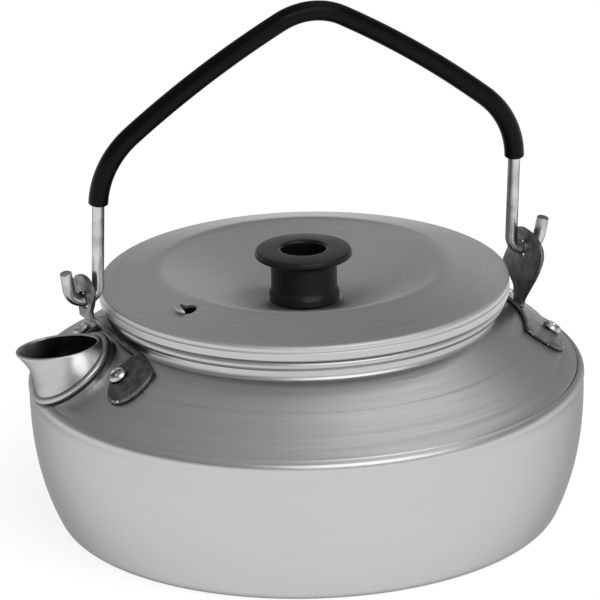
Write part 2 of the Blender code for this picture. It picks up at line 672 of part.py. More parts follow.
def make_spout_ear(finish, holes):
    """Make the ear that straddles the spout: tab, sloping web and two riveted feet."""
    tab = plate("spout_ear", spout_ear_tab(), EAR_SHEET / 2, finish)
    tab.matrix_world = ear_place(-SPOUT_EAR_X, -SPOUT_EAR_LEAN, SPOUT_EAR_TURN)
    boolean(tab, spout_ear_web("spout_ear_web"), "UNION")
    inner = SPOUT_EAR_WEB_R - EAR_SHEET / 2
    outer = SPOUT_EAR_WEB_R + SPOUT_FOOT_LENGTH
    plan = [(SPOUT_EAR_WEB_R + out * SPOUT_FOOT_LENGTH,
             SPOUT_EAR_RIVET_ANGLE + along * SPOUT_FOOT_WIDTH / SPOUT_EAR_RIVET_R)
            for out, along in SPOUT_FOOT]
    for side, label in ((1, "near"), (-1, "far")):
        outline = [(-r * math.cos(a), -side * r * math.sin(a)) for r, a in plan]
        foot = shoulder_sheet("spout_ear_foot_" + label, inner, outer + EAR_SHEET)
        boolean(foot, foot_prism("spout_ear_plan_" + label, outline), "INTERSECT")
        boolean(tab, foot, "UNION")
        boolean(tab, holes["spout_ear_rivet_" + label], "DIFFERENCE")
    ear_hole(tab, -SPOUT_EAR_X)
    return tab


def make_rear_ear(finish, holes):
    """Make the rear ear: a shield-shaped tab on a narrow neck, over a riveted flange."""
    low = shoulder_z(REAR_EAR_X) - HINGE_Z + 1.8 * EAR_SHEET
    outline = [(-REAR_EAR_NECK_HALF, low)]
    for across, up in REAR_EAR_NEAR + REAR_EAR_FAR:
        outline.append((across * REAR_EAR_HALF, up * (REAR_EAR_TOP if up > 0 else -low)))
    outline.append((REAR_EAR_NECK_HALF, low))
    tab = plate("rear_ear", outline, EAR_SHEET / 2, finish)
    tab.matrix_world = ear_place(REAR_EAR_X, REAR_EAR_LEAN, REAR_EAR_TURN)
    plan = []
    ends = ((REAR_FLANGE_FAR_HALF, REAR_FLANGE_END), (-REAR_FLANGE_HALF, REAR_FLANGE_END[::-1]))
    for half, shares in ends:
        for out, along in shares:
            radius = REAR_FLANGE_IN_R + out * REAR_FLANGE_WIDTH
            angle = along * half / REAR_EAR_RIVET_R
            plan.append((radius * math.cos(angle), radius * math.sin(angle)))
    beyond = REAR_FLANGE_IN_R + REAR_FLANGE_WIDTH + EAR_SHEET
    flange = shoulder_sheet("rear_ear_flange", REAR_FLANGE_IN_R, beyond)
    boolean(flange, foot_prism("rear_ear_plan", plan), "INTERSECT")
    boolean(tab, flange, "UNION")
    for label in ("near", "far"):
        boolean(tab, holes["rear_ear_rivet_" + label], "DIFFERENCE")
    ear_hole(tab, REAR_EAR_X)
    return tab


def make_rivets(finish):
    """Make the four rivets, each with a hollow round head outside and a flat tail inside."""
    head_z = EAR_SHEET + 2 * SEAT_GAP
    top_z = head_z + RIVET_HEAD_H
    well_z = top_z - RIVET_WELL_DEPTH
    tail_z = -BODY_WALL - SEAT_GAP
    lip_r = (RIVET_HEAD_R - RIVET_WELL_R) / 2
    lip = arc((RIVET_WELL_R + lip_r, top_z - lip_r), lip_r, 180, 0, 5)
    profile = [(0.0, well_z), (RIVET_WELL_R, well_z)] + lip
    profile += [(RIVET_HEAD_R, head_z), (RIVET_R, head_z), (RIVET_R, tail_z), (RIVET_TAIL_R, tail_z),
                (RIVET_TAIL_R, tail_z - RIVET_TAIL_H), (0.0, tail_z - RIVET_TAIL_H)]
    for name, place in RIVETS.items():
        rivet = turned(name, profile, RIVET_STEPS, finish)
        rivet.matrix_world = place


def bail_half():
    """Return half of the bail's line from the hook's tip to the crest, as (x, height)."""
    end_turn = BAIL_BEND_TURN + BAIL_FLANK_TURN
    flank_span = BAIL_HALF_SPAN - BAIL_BEND_R * (1 - math.cos(BAIL_BEND_TURN))
    flank_span -= BAIL_CREST_R * math.cos(end_turn)
    flank_r = flank_span / (math.cos(BAIL_BEND_TURN) - math.cos(end_turn))
    flank_rise = flank_r * (math.sin(end_turn) - math.sin(BAIL_BEND_TURN))
    crest_rise = BAIL_CREST_R * (1 - math.sin(end_turn))
    leg_top = BAIL_TOP - BAIL_BEND_R * math.sin(BAIL_BEND_TURN) - flank_rise - crest_rise
    bend = arc((BAIL_HALF_SPAN - BAIL_BEND_R, leg_top), BAIL_BEND_R, 0, math.degrees(BAIL_BEND_TURN), 6)
    flank_centre = (bend[-1][0] - flank_r * math.cos(BAIL_BEND_TURN),
                    bend[-1][1] - flank_r * math.sin(BAIL_BEND_TURN))
    flank = arc(flank_centre, flank_r, math.degrees(BAIL_BEND_TURN), math.degrees(end_turn), 4)
    crest = arc((0.0, BAIL_TOP - BAIL_CREST_R), BAIL_CREST_R, math.degrees(end_turn), 90, 4)
    hook_end = math.degrees(HOOK_TURN) - 180
    hook_centre = (BAIL_HALF_SPAN + HOOK_R, HOOK_R)
    hook = arc(hook_centre, HOOK_R, hook_end, -180, 8)
    along = math.radians(hook_end + 90)
    tip = (hook[0][0] + HOOK_TIP * math.cos(along), hook[0][1] + HOOK_TIP * math.sin(along))
    return [tip] + hook + bend + flank[1:] + crest[1:], leg_top


def make_bail(wire_finish, sleeve_finish):
    """Make the bail wire and its sleeve, leaning as they rest, on an empty at the hinge."""
    half, leg_top = bail_half()
    line = half + [(-x, z) for x, z in half[-2::-1]]
    sleeve_end = leg_top + SLEEVE_LEG
    grip = [p for p in half if p[1] > sleeve_end and abs(p[0]) < BAIL_HALF_SPAN]
    grip = [(BAIL_HALF_SPAN, sleeve_end)] + grip
    grip += [(-x, z) for x, z in grip[-2::-1]]
    hinge = bpy.data.objects.new("bail_hinge", None)
    PARTS.objects.link(hinge)
    stand = Matrix.Translation((BAIL_OFFSET, 0, HINGE_Z))
    hinge.matrix_world = stand @ Matrix.Rotation(BAIL_REST_LEAN, 4, "X")
    wire = tube("bail_wire", [(x, 0.0, z) for x, z in line], WIRE_R, 2, wire_finish)
    sleeve = tube("bail_sleeve", [(x, 0.0, z) for x, z in grip], SLEEVE_R, 3, sleeve_finish)
    longer = [(grip[0][0], sleeve_end - SLEEVE_R)] + grip[1:-1] + [(grip[-1][0], sleeve_end - SLEEVE_R)]
    bore = tube("sleeve_bore", [(x, 0.0, z) for x, z in longer], WIRE_R + SEAT_GAP, 2)
    boolean(sleeve, bore, "DIFFERENCE")
    for piece in (wire, sleeve, bore):
        piece.parent = hinge


ALUMINIUM = material("spun_aluminium", (0.55, 0.55, 0.56), 0.38, 1.0)
STEEL = material("ear_steel", (0.42, 0.42, 0.43), 0.42, 1.0)
WIRE_STEEL = material("wire_steel", (0.62, 0.62, 0.63), 0.28, 1.0)
RIVET_METAL = material("rivet_aluminium", (0.62, 0.62, 0.63), 0.35, 1.0)
FASTENER_STEEL = material("fastener_steel", (0.5, 0.5, 0.51), 0.3, 1.0)
BLACK_PLASTIC = material("black_plastic", (0.015, 0.015, 0.016), 0.4, 0.0)

HOLES = rivet_hole_cutters()
make_body(ALUMINIUM, HOLES)
make_spout(ALUMINIUM)
make_lid(ALUMINIUM)
make_knob(BLACK_PLASTIC)
make_knob_fastening(FASTENER_STEEL)
make_spout_ear(STEEL, HOLES)
make_rear_ear(STEEL, HOLES)
make_rivets(RIVET_METAL)
make_bail(WIRE_STEEL, BLACK_PLASTIC)
bpy.context.view_layer.update()
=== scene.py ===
"""Camping kettle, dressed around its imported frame.

Fine turned, pressed and bent meshes stand for the frame's plain solids, each with its own metal or
plastic finish, on a pale floor under soft studio light. Sizes are in metres, +Z up, with the spout
toward -X and the bail's hinge line along X.
"""
from __future__ import annotations

import logging
import math
from dataclasses import dataclass, field
from enum import Enum

import bmesh
import bpy
import numpy as np
from mathutils import Matrix, Vector


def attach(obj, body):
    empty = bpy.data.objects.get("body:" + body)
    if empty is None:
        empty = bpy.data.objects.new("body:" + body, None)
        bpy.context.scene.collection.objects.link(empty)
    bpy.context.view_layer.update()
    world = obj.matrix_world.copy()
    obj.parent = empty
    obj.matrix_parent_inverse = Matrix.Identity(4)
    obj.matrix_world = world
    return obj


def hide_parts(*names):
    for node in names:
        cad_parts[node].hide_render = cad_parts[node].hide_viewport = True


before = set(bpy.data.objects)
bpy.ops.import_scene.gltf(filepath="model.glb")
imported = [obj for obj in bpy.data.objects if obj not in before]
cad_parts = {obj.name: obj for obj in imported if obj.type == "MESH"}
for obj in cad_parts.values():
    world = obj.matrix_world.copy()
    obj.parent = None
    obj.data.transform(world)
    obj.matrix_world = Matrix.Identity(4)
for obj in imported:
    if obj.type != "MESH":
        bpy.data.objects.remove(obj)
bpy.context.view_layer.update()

LOG = logging.getLogger("camping_kettle")
MM = 0.001
MERGE_DISTANCE = 0.001 * MM
BLUE_CAST = 1.01

Point = tuple[float, float]
Line = list[Point]


class Body(Enum):
    """The rigid bodies of the frame that pieces ride on."""

    KETTLE = "kettle"
    BAIL = "bail"
    LID = "lid"


class Slot(Enum):
    """The record's material slots."""

    ALUMINIUM = "spun_aluminium"
    EAR = "ear_steel"
    WIRE = "wire_steel"
    RIVET = "rivet_aluminium"
    FASTENER = "fastener_steel"
    PLASTIC = "black_plastic"


# Lines and places


def arc(centre: Point, radius: float, start: float, end: float, steps: int) -> Line:
    """Return points along an arc.

    Args:
        centre: The arc's centre, as (across, up).
        radius: The arc's radius.
        start: First angle in degrees, from across toward up.
        end: Last angle in degrees.
        steps: Number of stretches.

    Returns:
        The points, both ends included.
    """
    angles = np.radians(np.linspace(start, end, steps + 1))
    return [(centre[0] + radius * math.cos(a), centre[1] + radius * math.sin(a)) for a in angles]


def rounded(corners: list[tuple[float, float, float]], steps: int) -> Line:
    """Return an open line whose corners are rounded.

    Args:
        corners: Corners as (across, up, radius); the two ends stay sharp.
        steps: Number of stretches in each rounding.

    Returns:
        The line's points.
    """
    line: Line = []
    for i, (x, z, radius) in enumerate(corners):
        here = Vector((x, z))
        if radius == 0 or i in (0, len(corners) - 1):
            line.append((x, z))
            continue
        back = (Vector(corners[i - 1][:2]) - here).normalized()
        ahead = (Vector(corners[i + 1][:2]) - here).normalized()
        half = math.acos(max(-1.0, min(1.0, back.dot(ahead)))) / 2
        centre = here + (back + ahead).normalized() * (radius / math.sin(half))
        first = here + back * (radius / math.tan(half)) - centre
        last = here + ahead * (radius / math.tan(half)) - centre
        turn = first.angle_signed(last)
        for k in range(steps + 1):
            spoke = first.copy()
            spoke.rotate(Matrix.Rotation(-turn * k / steps, 2))
            line.append(tuple(centre + spoke))
    return line


def offset(line: Line, distance: float) -> Line:
    """Return a line moved sideways with mitred corners.

    Args:
        line: The line's points.
        distance: How far to the left of its run it moves; negative is to the right.

    Returns:
        As many points as the line has.
    """
    points = [Vector(p) for p in line]
    normals = []
    for a, b in zip(points, points[1:]):
        along = (b - a).normalized()
        normals.append(Vector((-along.y, along.x)))
    moved: Line = []
    for i, point in enumerate(points):
        before = normals[max(i - 1, 0)]
        after = normals[min(i, len(normals) - 1)]
        middle = (before + after).normalized()
        moved.append(tuple(point + middle * (distance / middle.dot(after))))
    return moved


def bezier(p0: Vector, p1: Vector, p2: Vector, p3: Vector, steps: int) -> Line:
    """Return points along a cubic curve.

    Args:
        p0: Start.
        p1: Handle of the start.
        p2: Handle of the end.
        p3: End.
        steps: Number of stretches.

    Returns:
        The points, both ends included.
    """
    line: Line = []
    for t in np.linspace(0.0, 1.0, steps + 1):
        u = 1 - t
        place = p0 * u ** 3 + p1 * (3 * u * u * t) + p2 * (3 * u * t * t) + p3 * t ** 3
        line.append((place.x, place.y))
    return line


def smooth_closed(points: list[Point], passes: int) -> list[Point]:
    """Return a closed outline with its corners cut and rounded.

    Args:
        points: The outline's corners in order.
        passes: How many times each corner is cut; each pass doubles the points.

    Returns:
        The rounded outline.
    """
    outline = [Vector(p) for p in points]
    for _ in range(passes):
        cut = []
        for a, b in zip(outline, outline[1:] + outline[:1]):
            cut += [a.lerp(b, 0.25), a.lerp(b, 0.75)]
        outline = cut
    return [tuple(p) for p in outline]


# Meshes


def add_mesh(name: str, verts: np.ndarray | list, faces: list) -> bpy.types.Object:
    """Return a new object at the origin from vertices and faces.

    Args:
        name: The object's name, which its mesh shares.
        verts: The vertices' places.
        faces: The faces, each a tuple of vertex numbers.

    Returns:
        The object, linked to the scene.
    """
    mesh = bpy.data.meshes.new(name)
    mesh.from_pydata([tuple(v) for v in verts], [], faces)
    mesh.update()
    made = bpy.data.objects.new(name, mesh)
    bpy.context.scene.collection.objects.link(made)
    return made


def ring_faces(rings: int, count: int, closed: bool = True) -> list[tuple[int, ...]]:
    """Return the faces between rings of points, the last ring joined to the first.

    Args:
        rings: Number of rings.
        count: Number of points in each ring.
        closed: True where each ring's last point is joined to its first.

    Returns:
        The faces, four corners each.
    """
    faces = []
    for i in range(rings):
        here = i * count
        there = (i + 1) % rings * count
        for k in range(count if closed else count - 1):
            nxt = (k + 1) % count
            faces.append((here + k, here + nxt, there + nxt, there + k))
    return faces


def turned(name: str, profile: Line, steps: int, closed: bool = False) -> bpy.types.Object:
    """Turn a profile about Z.

    Args:
        name: The object's name.
        profile: Points as (radius, height), down the outer side from top to bottom.
        steps: Number of steps round the axis.
        closed: True for a ring; otherwise both ends of the profile lie on the axis.

    Returns:
        The closed turned mesh.
    """
    angles = np.linspace(0, 2 * math.pi, steps, endpoint=False)
    ring = np.array(profile)
    body = ring if closed else ring[1:-1]
    count = len(body)
    verts = [(r * math.cos(a), r * math.sin(a), z) for a in angles for r, z in body]
    faces = ring_faces(steps, count, closed)
    if not closed:
        top = len(verts)
        verts += [(0.0, 0.0, ring[0][1]), (0.0, 0.0, ring[-1][1])]
        for i in range(steps):
            here = i * count
            there = ((i + 1) % steps) * count
            faces.append((top, here, there))
            faces.append((top + 1, there + count - 1, here + count - 1))
    return add_mesh(name, verts, faces)


def looped(name: str, sections: list[np.ndarray]) -> bpy.types.Object:
    """Join closed sections, each to the next and the last to the first, into one closed skin.

    Args:
        name: The object's name.
        sections: The sections' points, as many in each.

    Returns:
        The closed skin.
    """
    faces = ring_faces(len(sections), len(sections[0]))
    made = add_mesh(name, np.concatenate(sections), faces)
    face_out(made)
    return made


def face_out(piece: bpy.types.Object) -> None:
    """Merge a closed mesh's doubles and turn all its faces outward.

    Args:
        piece: The object that holds the mesh.
    """
    shape = bmesh.new()
    shape.from_mesh(piece.data)
    bmesh.ops.remove_doubles(shape, verts=shape.verts, dist=MERGE_DISTANCE)
    bmesh.ops.recalc_face_normals(shape, faces=shape.faces)
    shape.to_mesh(piece.data)
    shape.free()


def prism(name: str, outline: list[Point], low: float, high: float) -> bpy.types.Object:
    """Return an upright prism over an outline.

    Args:
        name: The object's name.
        outline: The outline's corners in the XY plane.
        low: Height of its lower end.
        high: Height of its upper end.

    Returns:
        The closed prism.
    """
    count = len(outline)
    verts = [(x, y, low) for x, y in outline] + [(x, y, high) for x, y in outline]
    faces = [tuple(range(count)), tuple(range(2 * count - 1, count - 1, -1))]
    faces += [(i, (i + 1) % count, count + (i + 1) % count, count + i) for i in range(count)]
    made = add_mesh(name, verts, faces)
    face_out(made)
    return made


def rod(name: str, radius: float, low: float, high: float, steps: int) -> bpy.types.Object:
    """Return a plain cylinder along its own Z."""
    return prism(name, [(radius * math.cos(a), radius * math.sin(a))
                        for a in np.linspace(0, 2 * math.pi, steps, endpoint=False)], low, high)


def place(piece: bpy.types.Object, matrix: Matrix) -> bpy.types.Object:
    """Move a piece's mesh, so that its object stays at the origin."""
    piece.data.transform(matrix)
    return piece


def settle(piece: bpy.types.Object) -> bpy.types.Object:
    """Apply a piece's modifiers to its mesh.

    Args:
        piece: The piece with live modifiers.

    Returns:
        The same piece with a plain mesh.
    """
    graph = bpy.context.evaluated_depsgraph_get()
    graph.update()
    done = bpy.data.meshes.new_from_object(piece.evaluated_get(graph))
    piece.modifiers.clear()
    piece.data = done
    done.name = piece.name
    return piece


def combine(target: bpy.types.Object, tools: list[bpy.types.Object], operation: str) -> None:
    """Join tools to a target or cut them from it, one after another, and delete them.

    Args:
        target: The piece that is changed.
        tools: The closed meshes to join or cut.
        operation: UNION, DIFFERENCE or INTERSECT.
    """
    for tool in tools:
        step = target.modifiers.new("combine", "BOOLEAN")
        step.operation = operation
        step.object = tool
        step.solver = "EXACT"
        settle(target)
        bpy.data.objects.remove(tool, do_unlink=True)


def bevel(piece: bpy.types.Object, width: float, angle: float) -> None:
    """Soften a piece's edges.

    Args:
        piece: The piece.
        width: Width of the bevels.
        angle: Smallest turn of an edge that is softened, in degrees.
    """
    soften = piece.modifiers.new("soften", "BEVEL")
    soften.width = width
    soften.segments = 2
    soften.angle_limit = math.radians(angle)
    settle(piece)


def forge(piece: bpy.types.Object, parts: list[bpy.types.Object], voxel: float,
          passes: int) -> None:
    """Fuse overlapping closed meshes into one smooth skin with softened edges.

    Args:
        piece: The piece that takes the result.
        parts: Meshes that overlap it, deleted afterwards.
        voxel: Size of the grid that the skin is drawn from.
        passes: Number of smoothing passes.
    """
    shape = bmesh.new()
    for source in [piece] + parts:
        shape.from_mesh(source.data)
    shape.to_mesh(piece.data)
    shape.free()
    for source in parts:
        bpy.data.objects.remove(source, do_unlink=True)
    remesh = piece.modifiers.new("remesh", "REMESH")
    remesh.mode = "VOXEL"
    remesh.voxel_size = voxel
    relax = piece.modifiers.new("relax", "SMOOTH")
    relax.factor = 0.5
    relax.iterations = passes
    settle(piece)


def shade(piece: bpy.types.Object, angle: float = 40.0) -> None:
    """Shade a piece smooth, with sharp edges past an angle in degrees."""
    piece.data.shade_smooth()
    piece.data.set_sharp_from_angle(angle=math.radians(angle))


# Geometry node trees


def new_tree(name: str, inputs: dict[str, str]) -> bpy.types.NodeTree:
    """Return a new geometry node tree with named inputs and one geometry output.

    Args:
        name: The tree's name.
        inputs: Each input's name, with its kind of socket.

    Returns:
        The tree, still without nodes.
    """
    tree = bpy.data.node_groups.new(name, "GeometryNodeTree")
    for label, kind in inputs.items():
        tree.interface.new_socket(label, in_out="INPUT", socket_type=f"NodeSocket{kind}")
    tree.interface.new_socket("Geometry", in_out="OUTPUT", socket_type="NodeSocketGeometry")
    return tree


def end_tree(tree: bpy.types.NodeTree, start: bpy.types.Node,
             shape: bpy.types.NodeSocket) -> None:
    """End a tree: make its shape real, give it the Finish input's material and put it out.

    Args:
        tree: The tree.
        start: Its input node.
        shape: The socket that gives the finished shape.
    """
    real = tree.nodes.new("GeometryNodeRealizeInstances")
    paint = tree.nodes.new("GeometryNodeSetMaterial")
    end = tree.nodes.new("NodeGroupOutput")
    join = tree.links.new
    join(shape, real.inputs["Geometry"])
    join(real.outputs["Geometry"], paint.inputs["Geometry"])
    join(start.outputs["Finish"], paint.inputs["Material"])
    join(paint.outputs["Geometry"], end.inputs["Geometry"])


def run_tree(piece: bpy.types.Object, tree: bpy.types.NodeTree, values: dict[str, object]) -> None:
    """Run a geometry node tree on a piece and keep the plain mesh.

    Args:
        piece: The piece whose mesh goes into the tree.
        tree: The tree.
        values: The inputs' values by name.
    """
    modifier = piece.modifiers.new(tree.name, "NODES")
    modifier.node_group = tree
    for item in tree.interface.items_tree:
        if item.item_type == "SOCKET" and item.in_out == "INPUT" and item.name in values:
            modifier[item.identifier] = values[item.name]
    settle(piece)


# Finishes


class Nodes:
    """A short hand for building one material's node tree."""

    def __init__(self, name: str) -> None:
        """Start a material with a Principled shader.

        Args:
            name: The material's name.
        """
        self.material = bpy.data.materials.new(name)
        self.material.use_nodes = True
        self.tree = self.material.node_tree
        self.shader = self.tree.nodes["Principled BSDF"]

    def set(self, **values: object) -> None:
        """Set the shader's inputs, each named in lower case with underscores, to numbers or greys.

        Args:
            values: The inputs' values; a colour is given as one grey.
        """
        sockets = {socket.name.lower().replace(" ", "_"): socket for socket in self.shader.inputs}
        for name, value in values.items():
            socket = sockets[name]
            socket.default_value = (value,) * 3 + (1.0,) if socket.type == "RGBA" else value

    def add(self, kind: str, **settings: object) -> bpy.types.Node:
        """Add a node.

        Args:
            kind: The node's type.
            settings: Its properties.

        Returns:
            The node.
        """
        node = self.tree.nodes.new(kind)
        for name, value in settings.items():
            setattr(node, name, value)
        return node

    def link(self, source: bpy.types.NodeSocket, target: bpy.types.NodeSocket) -> None:
        """Link two sockets."""
        self.tree.links.new(source, target)

    def math(self, operation: str, first: object, second: object = None) -> bpy.types.NodeSocket:
        """Add a Math node.

        Args:
            operation: What it works out.
            first: Its first input, a socket or a number.
            second: Its second input, if it has one.

        Returns:
            The result's socket.
        """
        node = self.add("ShaderNodeMath", operation=operation)
        for socket, value in zip(node.inputs, (first, second)):
            if isinstance(value, bpy.types.NodeSocket):
                self.link(value, socket)
            elif value is not None:
                socket.default_value = value
        return node.outputs[0]

    def span(self, value: bpy.types.NodeSocket, low: float, high: float,
             start: float = 0.0, end: float = 1.0) -> bpy.types.NodeSocket:
        """Map a value from one range to another, without leaving the new one.

        Args:
            value: The value's socket.
            low: Result at the range's start.
            high: Result at the range's end.
            start: Where the value's range starts.
            end: Where it ends.

        Returns:
            The result's socket.
        """
        node = self.add("ShaderNodeMapRange")
        self.link(value, node.inputs["Value"])
        node.inputs["From Min"].default_value = start
        node.inputs["From Max"].default_value = end
        node.inputs["To Min"].default_value = low
        node.inputs["To Max"].default_value = high
        return node.outputs["Result"]

    def noise(self, vector: bpy.types.NodeSocket, scale: float, detail: float = 2.0,
              roughness: float = 0.5) -> bpy.types.NodeSocket:
        """Add a noise texture.

        Args:
            vector: Where it is read.
            scale: Number of grains in a metre.
            detail: Number of finer layers.
            roughness: Strength of the finer layers.

        Returns:
            The noise's socket.
        """
        node = self.add("ShaderNodeTexNoise")
        self.link(vector, node.inputs["Vector"])
        node.inputs["Scale"].default_value = scale
        node.inputs["Detail"].default_value = detail
        node.inputs["Roughness"].default_value = roughness
        return node.outputs["Fac"]

    def rings(self, run: bpy.types.NodeSocket, east: bpy.types.NodeSocket,
              north: bpy.types.NodeSocket, pitch: float, wander: float,
              detail: float) -> bpy.types.NodeSocket:
        """Add noise drawn out into rings round an axis.

        Args:
            run: Distance along the turned profile.
            east: Share of the direction from the axis along X.
            north: Share of the direction from the axis along Y.
            pitch: Width of a ring.
            wander: How much the rings change on their way round.
            detail: Number of finer layers.

        Returns:
            The noise's socket.
        """
        spot = self.add("ShaderNodeCombineXYZ")
        self.link(self.math("MULTIPLY", run, 1.0 / pitch), spot.inputs[0])
        self.link(self.math("MULTIPLY", east, wander), spot.inputs[1])
        self.link(self.math("MULTIPLY", north, wander), spot.inputs[2])
        return self.noise(spot.outputs[0], 1.0, detail, 0.6)

    def tint(self, value: bpy.types.NodeSocket, dark: float, light: float) -> None:
        """Drive the shader's grey base colour between two brightnesses.

        Args:
            value: The share of the lighter one; past 1 the colour grows brighter still.
            dark: Brightness at 0.
            light: Brightness at 1.
        """
        mix = self.add("ShaderNodeMix", data_type="RGBA", clamp_factor=False)
        self.link(value, mix.inputs["Factor"])
        for socket, grey in ((mix.inputs["A"], dark), (mix.inputs["B"], light)):
            socket.default_value = (grey, grey, grey * BLUE_CAST, 1.0)
        self.link(mix.outputs["Result"], self.shader.inputs["Base Color"])

    def bump(self, heights: list[tuple[bpy.types.NodeSocket, float]]) -> None:
        """Chain bumps onto the shader's normal.

        Args:
            heights: Each bump's height, with its depth in metres.
        """
        normal = None
        for height, depth in heights:
            node = self.add("ShaderNodeBump")
            node.inputs["Strength"].default_value = 1.0
            node.inputs["Distance"].default_value = depth
            self.link(height, node.inputs["Height"])
            if normal is not None:
                self.link(normal, node.inputs["Normal"])
            normal = node.outputs["Normal"]
        self.link(normal, self.shader.inputs["Normal"])


@dataclass(frozen=True)
class SpunAluminium:
    """Satin aluminium spun on a lathe: fine turning rings that fade out below a height.

    The two wanders say how much the rings change on their way round, and the three shares
    how much the fine rings, the broad bands and the soft clouds weigh in the marks.
    """

    name: str
    dark: float = 0.47
    light: float = 0.58
    edge: float = 0.35
    roughness: float = 0.32
    rough_spread: float = 0.05
    anisotropy: float = 0.6
    ring_depth: float = 0.016 * MM
    fine_pitch: float = 0.35 * MM
    band_pitch: float = 2.2 * MM
    fine_wander: float = 1.6
    band_wander: float = 0.5
    fine_share: float = 0.5
    band_share: float = 0.4
    cloud_share: float = 0.1
    cloud_scale: float = 60.0
    rings_from: float = 41.5 * MM
    fade: float = 2.0 * MM
    plain_share: float = 0.12
    centre: tuple[float, float, float] = (0.0, 0.0, 0.0)
    tilt: float = 0.0

    def material(self) -> bpy.types.Material:
        """Build the finish's node tree.

        Returns:
            The finish as a material.
        """
        nodes = Nodes(self.name)
        shader = nodes.shader
        nodes.set(metallic=1.0, anisotropic=self.anisotropy, specular_tint=self.edge)
        coords = nodes.add("ShaderNodeTexCoord").outputs["Object"]
        mapping = nodes.add("ShaderNodeMapping", vector_type="TEXTURE")
        mapping.inputs["Location"].default_value = self.centre
        mapping.inputs["Rotation"].default_value = (0.0, self.tilt, 0.0)
        nodes.link(coords, mapping.inputs["Vector"])
        split = nodes.add("ShaderNodeSeparateXYZ")
        nodes.link(mapping.outputs["Vector"], split.inputs[0])
        x, y, z = split.outputs
        radius = nodes.math("SQRT", nodes.math("ADD", nodes.math("MULTIPLY", x, x),
                                               nodes.math("MULTIPLY", y, y)))
        safe = nodes.math("MAXIMUM", radius, 0.1 * MM)
        run = nodes.math("SUBTRACT", radius, z)
        east = nodes.math("DIVIDE", x, safe)
        north = nodes.math("DIVIDE", y, safe)
        fine = nodes.rings(run, east, north, self.fine_pitch, self.fine_wander, 3.0)
        broad = nodes.rings(run, east, north, self.band_pitch, self.band_wander, 2.0)
        cloud = nodes.noise(coords, self.cloud_scale, 2.0)
        mixed = nodes.math("ADD", nodes.math("MULTIPLY", fine, self.fine_share),
                           nodes.math("ADD", nodes.math("MULTIPLY", broad, self.band_share),
                                      nodes.math("MULTIPLY", cloud, self.cloud_share)))
        share = nodes.span(z, self.plain_share, 1.0, self.rings_from - self.fade, self.rings_from)
        marks = nodes.math("ADD", nodes.math("MULTIPLY", nodes.math("SUBTRACT", mixed, 0.5), share),
                           0.5)
        nodes.tint(nodes.span(marks, 0.0, 1.0, 0.32, 0.68), self.dark, self.light)
        rough = nodes.span(marks, self.roughness + self.rough_spread,
                           self.roughness - self.rough_spread, 0.3, 0.7)
        nodes.link(rough, shader.inputs["Roughness"])
        nodes.bump([(nodes.math("MULTIPLY", broad, share), self.ring_depth * 3),
                    (nodes.math("MULTIPLY", fine, share), self.ring_depth)])
        tangent = nodes.add("ShaderNodeTangent", direction_type="RADIAL", axis="Z")
        nodes.link(tangent.outputs[0], shader.inputs["Tangent"])
        return nodes.material


@dataclass(frozen=True)
class PressedSteel:
    """Steel sheet from a press, dull and mottled, with short random scratches and a painted
    highlight lightening its sharp edges.
    """

    name: str
    dark: float = 0.09
    light: float = 0.21
    # Painted highlight on sharp edges: its strength and the range of pointiness that it spans.
    edge_highlight: float = 5.0
    highlight_from: float = 0.55
    highlight_to: float = 0.66
    roughness: float = 0.34
    mottle_scale: float = 420.0
    scratch_scale: float = 3200.0
    scratch_stretch: tuple[float, float, float] = (1.0, 0.12, 1.0)
    mottle_depth: float = 0.02 * MM
    scratch_depth: float = 0.004 * MM

    def material(self) -> bpy.types.Material:
        """Build the finish's node tree.

        Returns:
            The finish as a material.
        """
        nodes = Nodes(self.name)
        nodes.set(metallic=1.0)
        coords = nodes.add("ShaderNodeTexCoord").outputs["Object"]
        mottle = nodes.noise(coords, self.mottle_scale, 4.0, 0.6)
        stretch = nodes.add("ShaderNodeMapping")
        stretch.inputs["Scale"].default_value = self.scratch_stretch
        nodes.link(coords, stretch.inputs["Vector"])
        scratch = nodes.noise(stretch.outputs["Vector"], self.scratch_scale, 2.0, 0.7)
        # Painted highlight: pointiness lightens the base colour along sharp edges, standing in for
        # light caught by the sheet's edges.
        painted_highlight = nodes.span(nodes.add("ShaderNodeNewGeometry").outputs["Pointiness"],
                          0.0, self.edge_highlight, self.highlight_from, self.highlight_to)
        bright = nodes.math("ADD", nodes.span(mottle, 0.0, 1.0, 0.35, 0.65), painted_highlight)
        nodes.tint(bright, self.dark, self.light)
        rough = nodes.span(scratch, self.roughness - 0.08, self.roughness + 0.10, 0.3, 0.7)
        nodes.link(rough, nodes.shader.inputs["Roughness"])
        nodes.bump([(mottle, self.mottle_depth), (scratch, self.scratch_depth)])
        return nodes.material


@dataclass(frozen=True)
class DrawnWire:
    """Bright drawn wire or turned steel, darker toward its edges, with marks along its run."""

    name: str
    dark: float = 0.42
    light: float = 0.62
    edge: float = 0.15
    roughness: float = 0.24
    depth: float = 0.003 * MM
    line_scale: float = 2600.0
    stain_scale: float = 240.0
    stretch: tuple[float, float, float] = (1.0, 1.0, 0.04)

    def material(self) -> bpy.types.Material:
        """Build the finish's node tree.

        Returns:
            The finish as a material.
        """
        nodes = Nodes(self.name)
        nodes.set(metallic=1.0, specular_tint=self.edge)
        coords = nodes.add("ShaderNodeTexCoord").outputs["Object"]
        mapping = nodes.add("ShaderNodeMapping")
        mapping.inputs["Scale"].default_value = self.stretch
        nodes.link(coords, mapping.inputs["Vector"])
        lines = nodes.noise(mapping.outputs["Vector"], self.line_scale, 2.0, 0.6)
        stain = nodes.noise(coords, self.stain_scale, 3.0)
        nodes.tint(nodes.span(stain, 0.0, 1.0, 0.35, 0.65), self.dark, self.light)
        rough = nodes.span(lines, self.roughness - 0.06, self.roughness + 0.08, 0.3, 0.7)
        nodes.link(rough, nodes.shader.inputs["Roughness"])
        nodes.bump([(lines, self.depth), (stain, 2 * self.depth)])
        return nodes.material


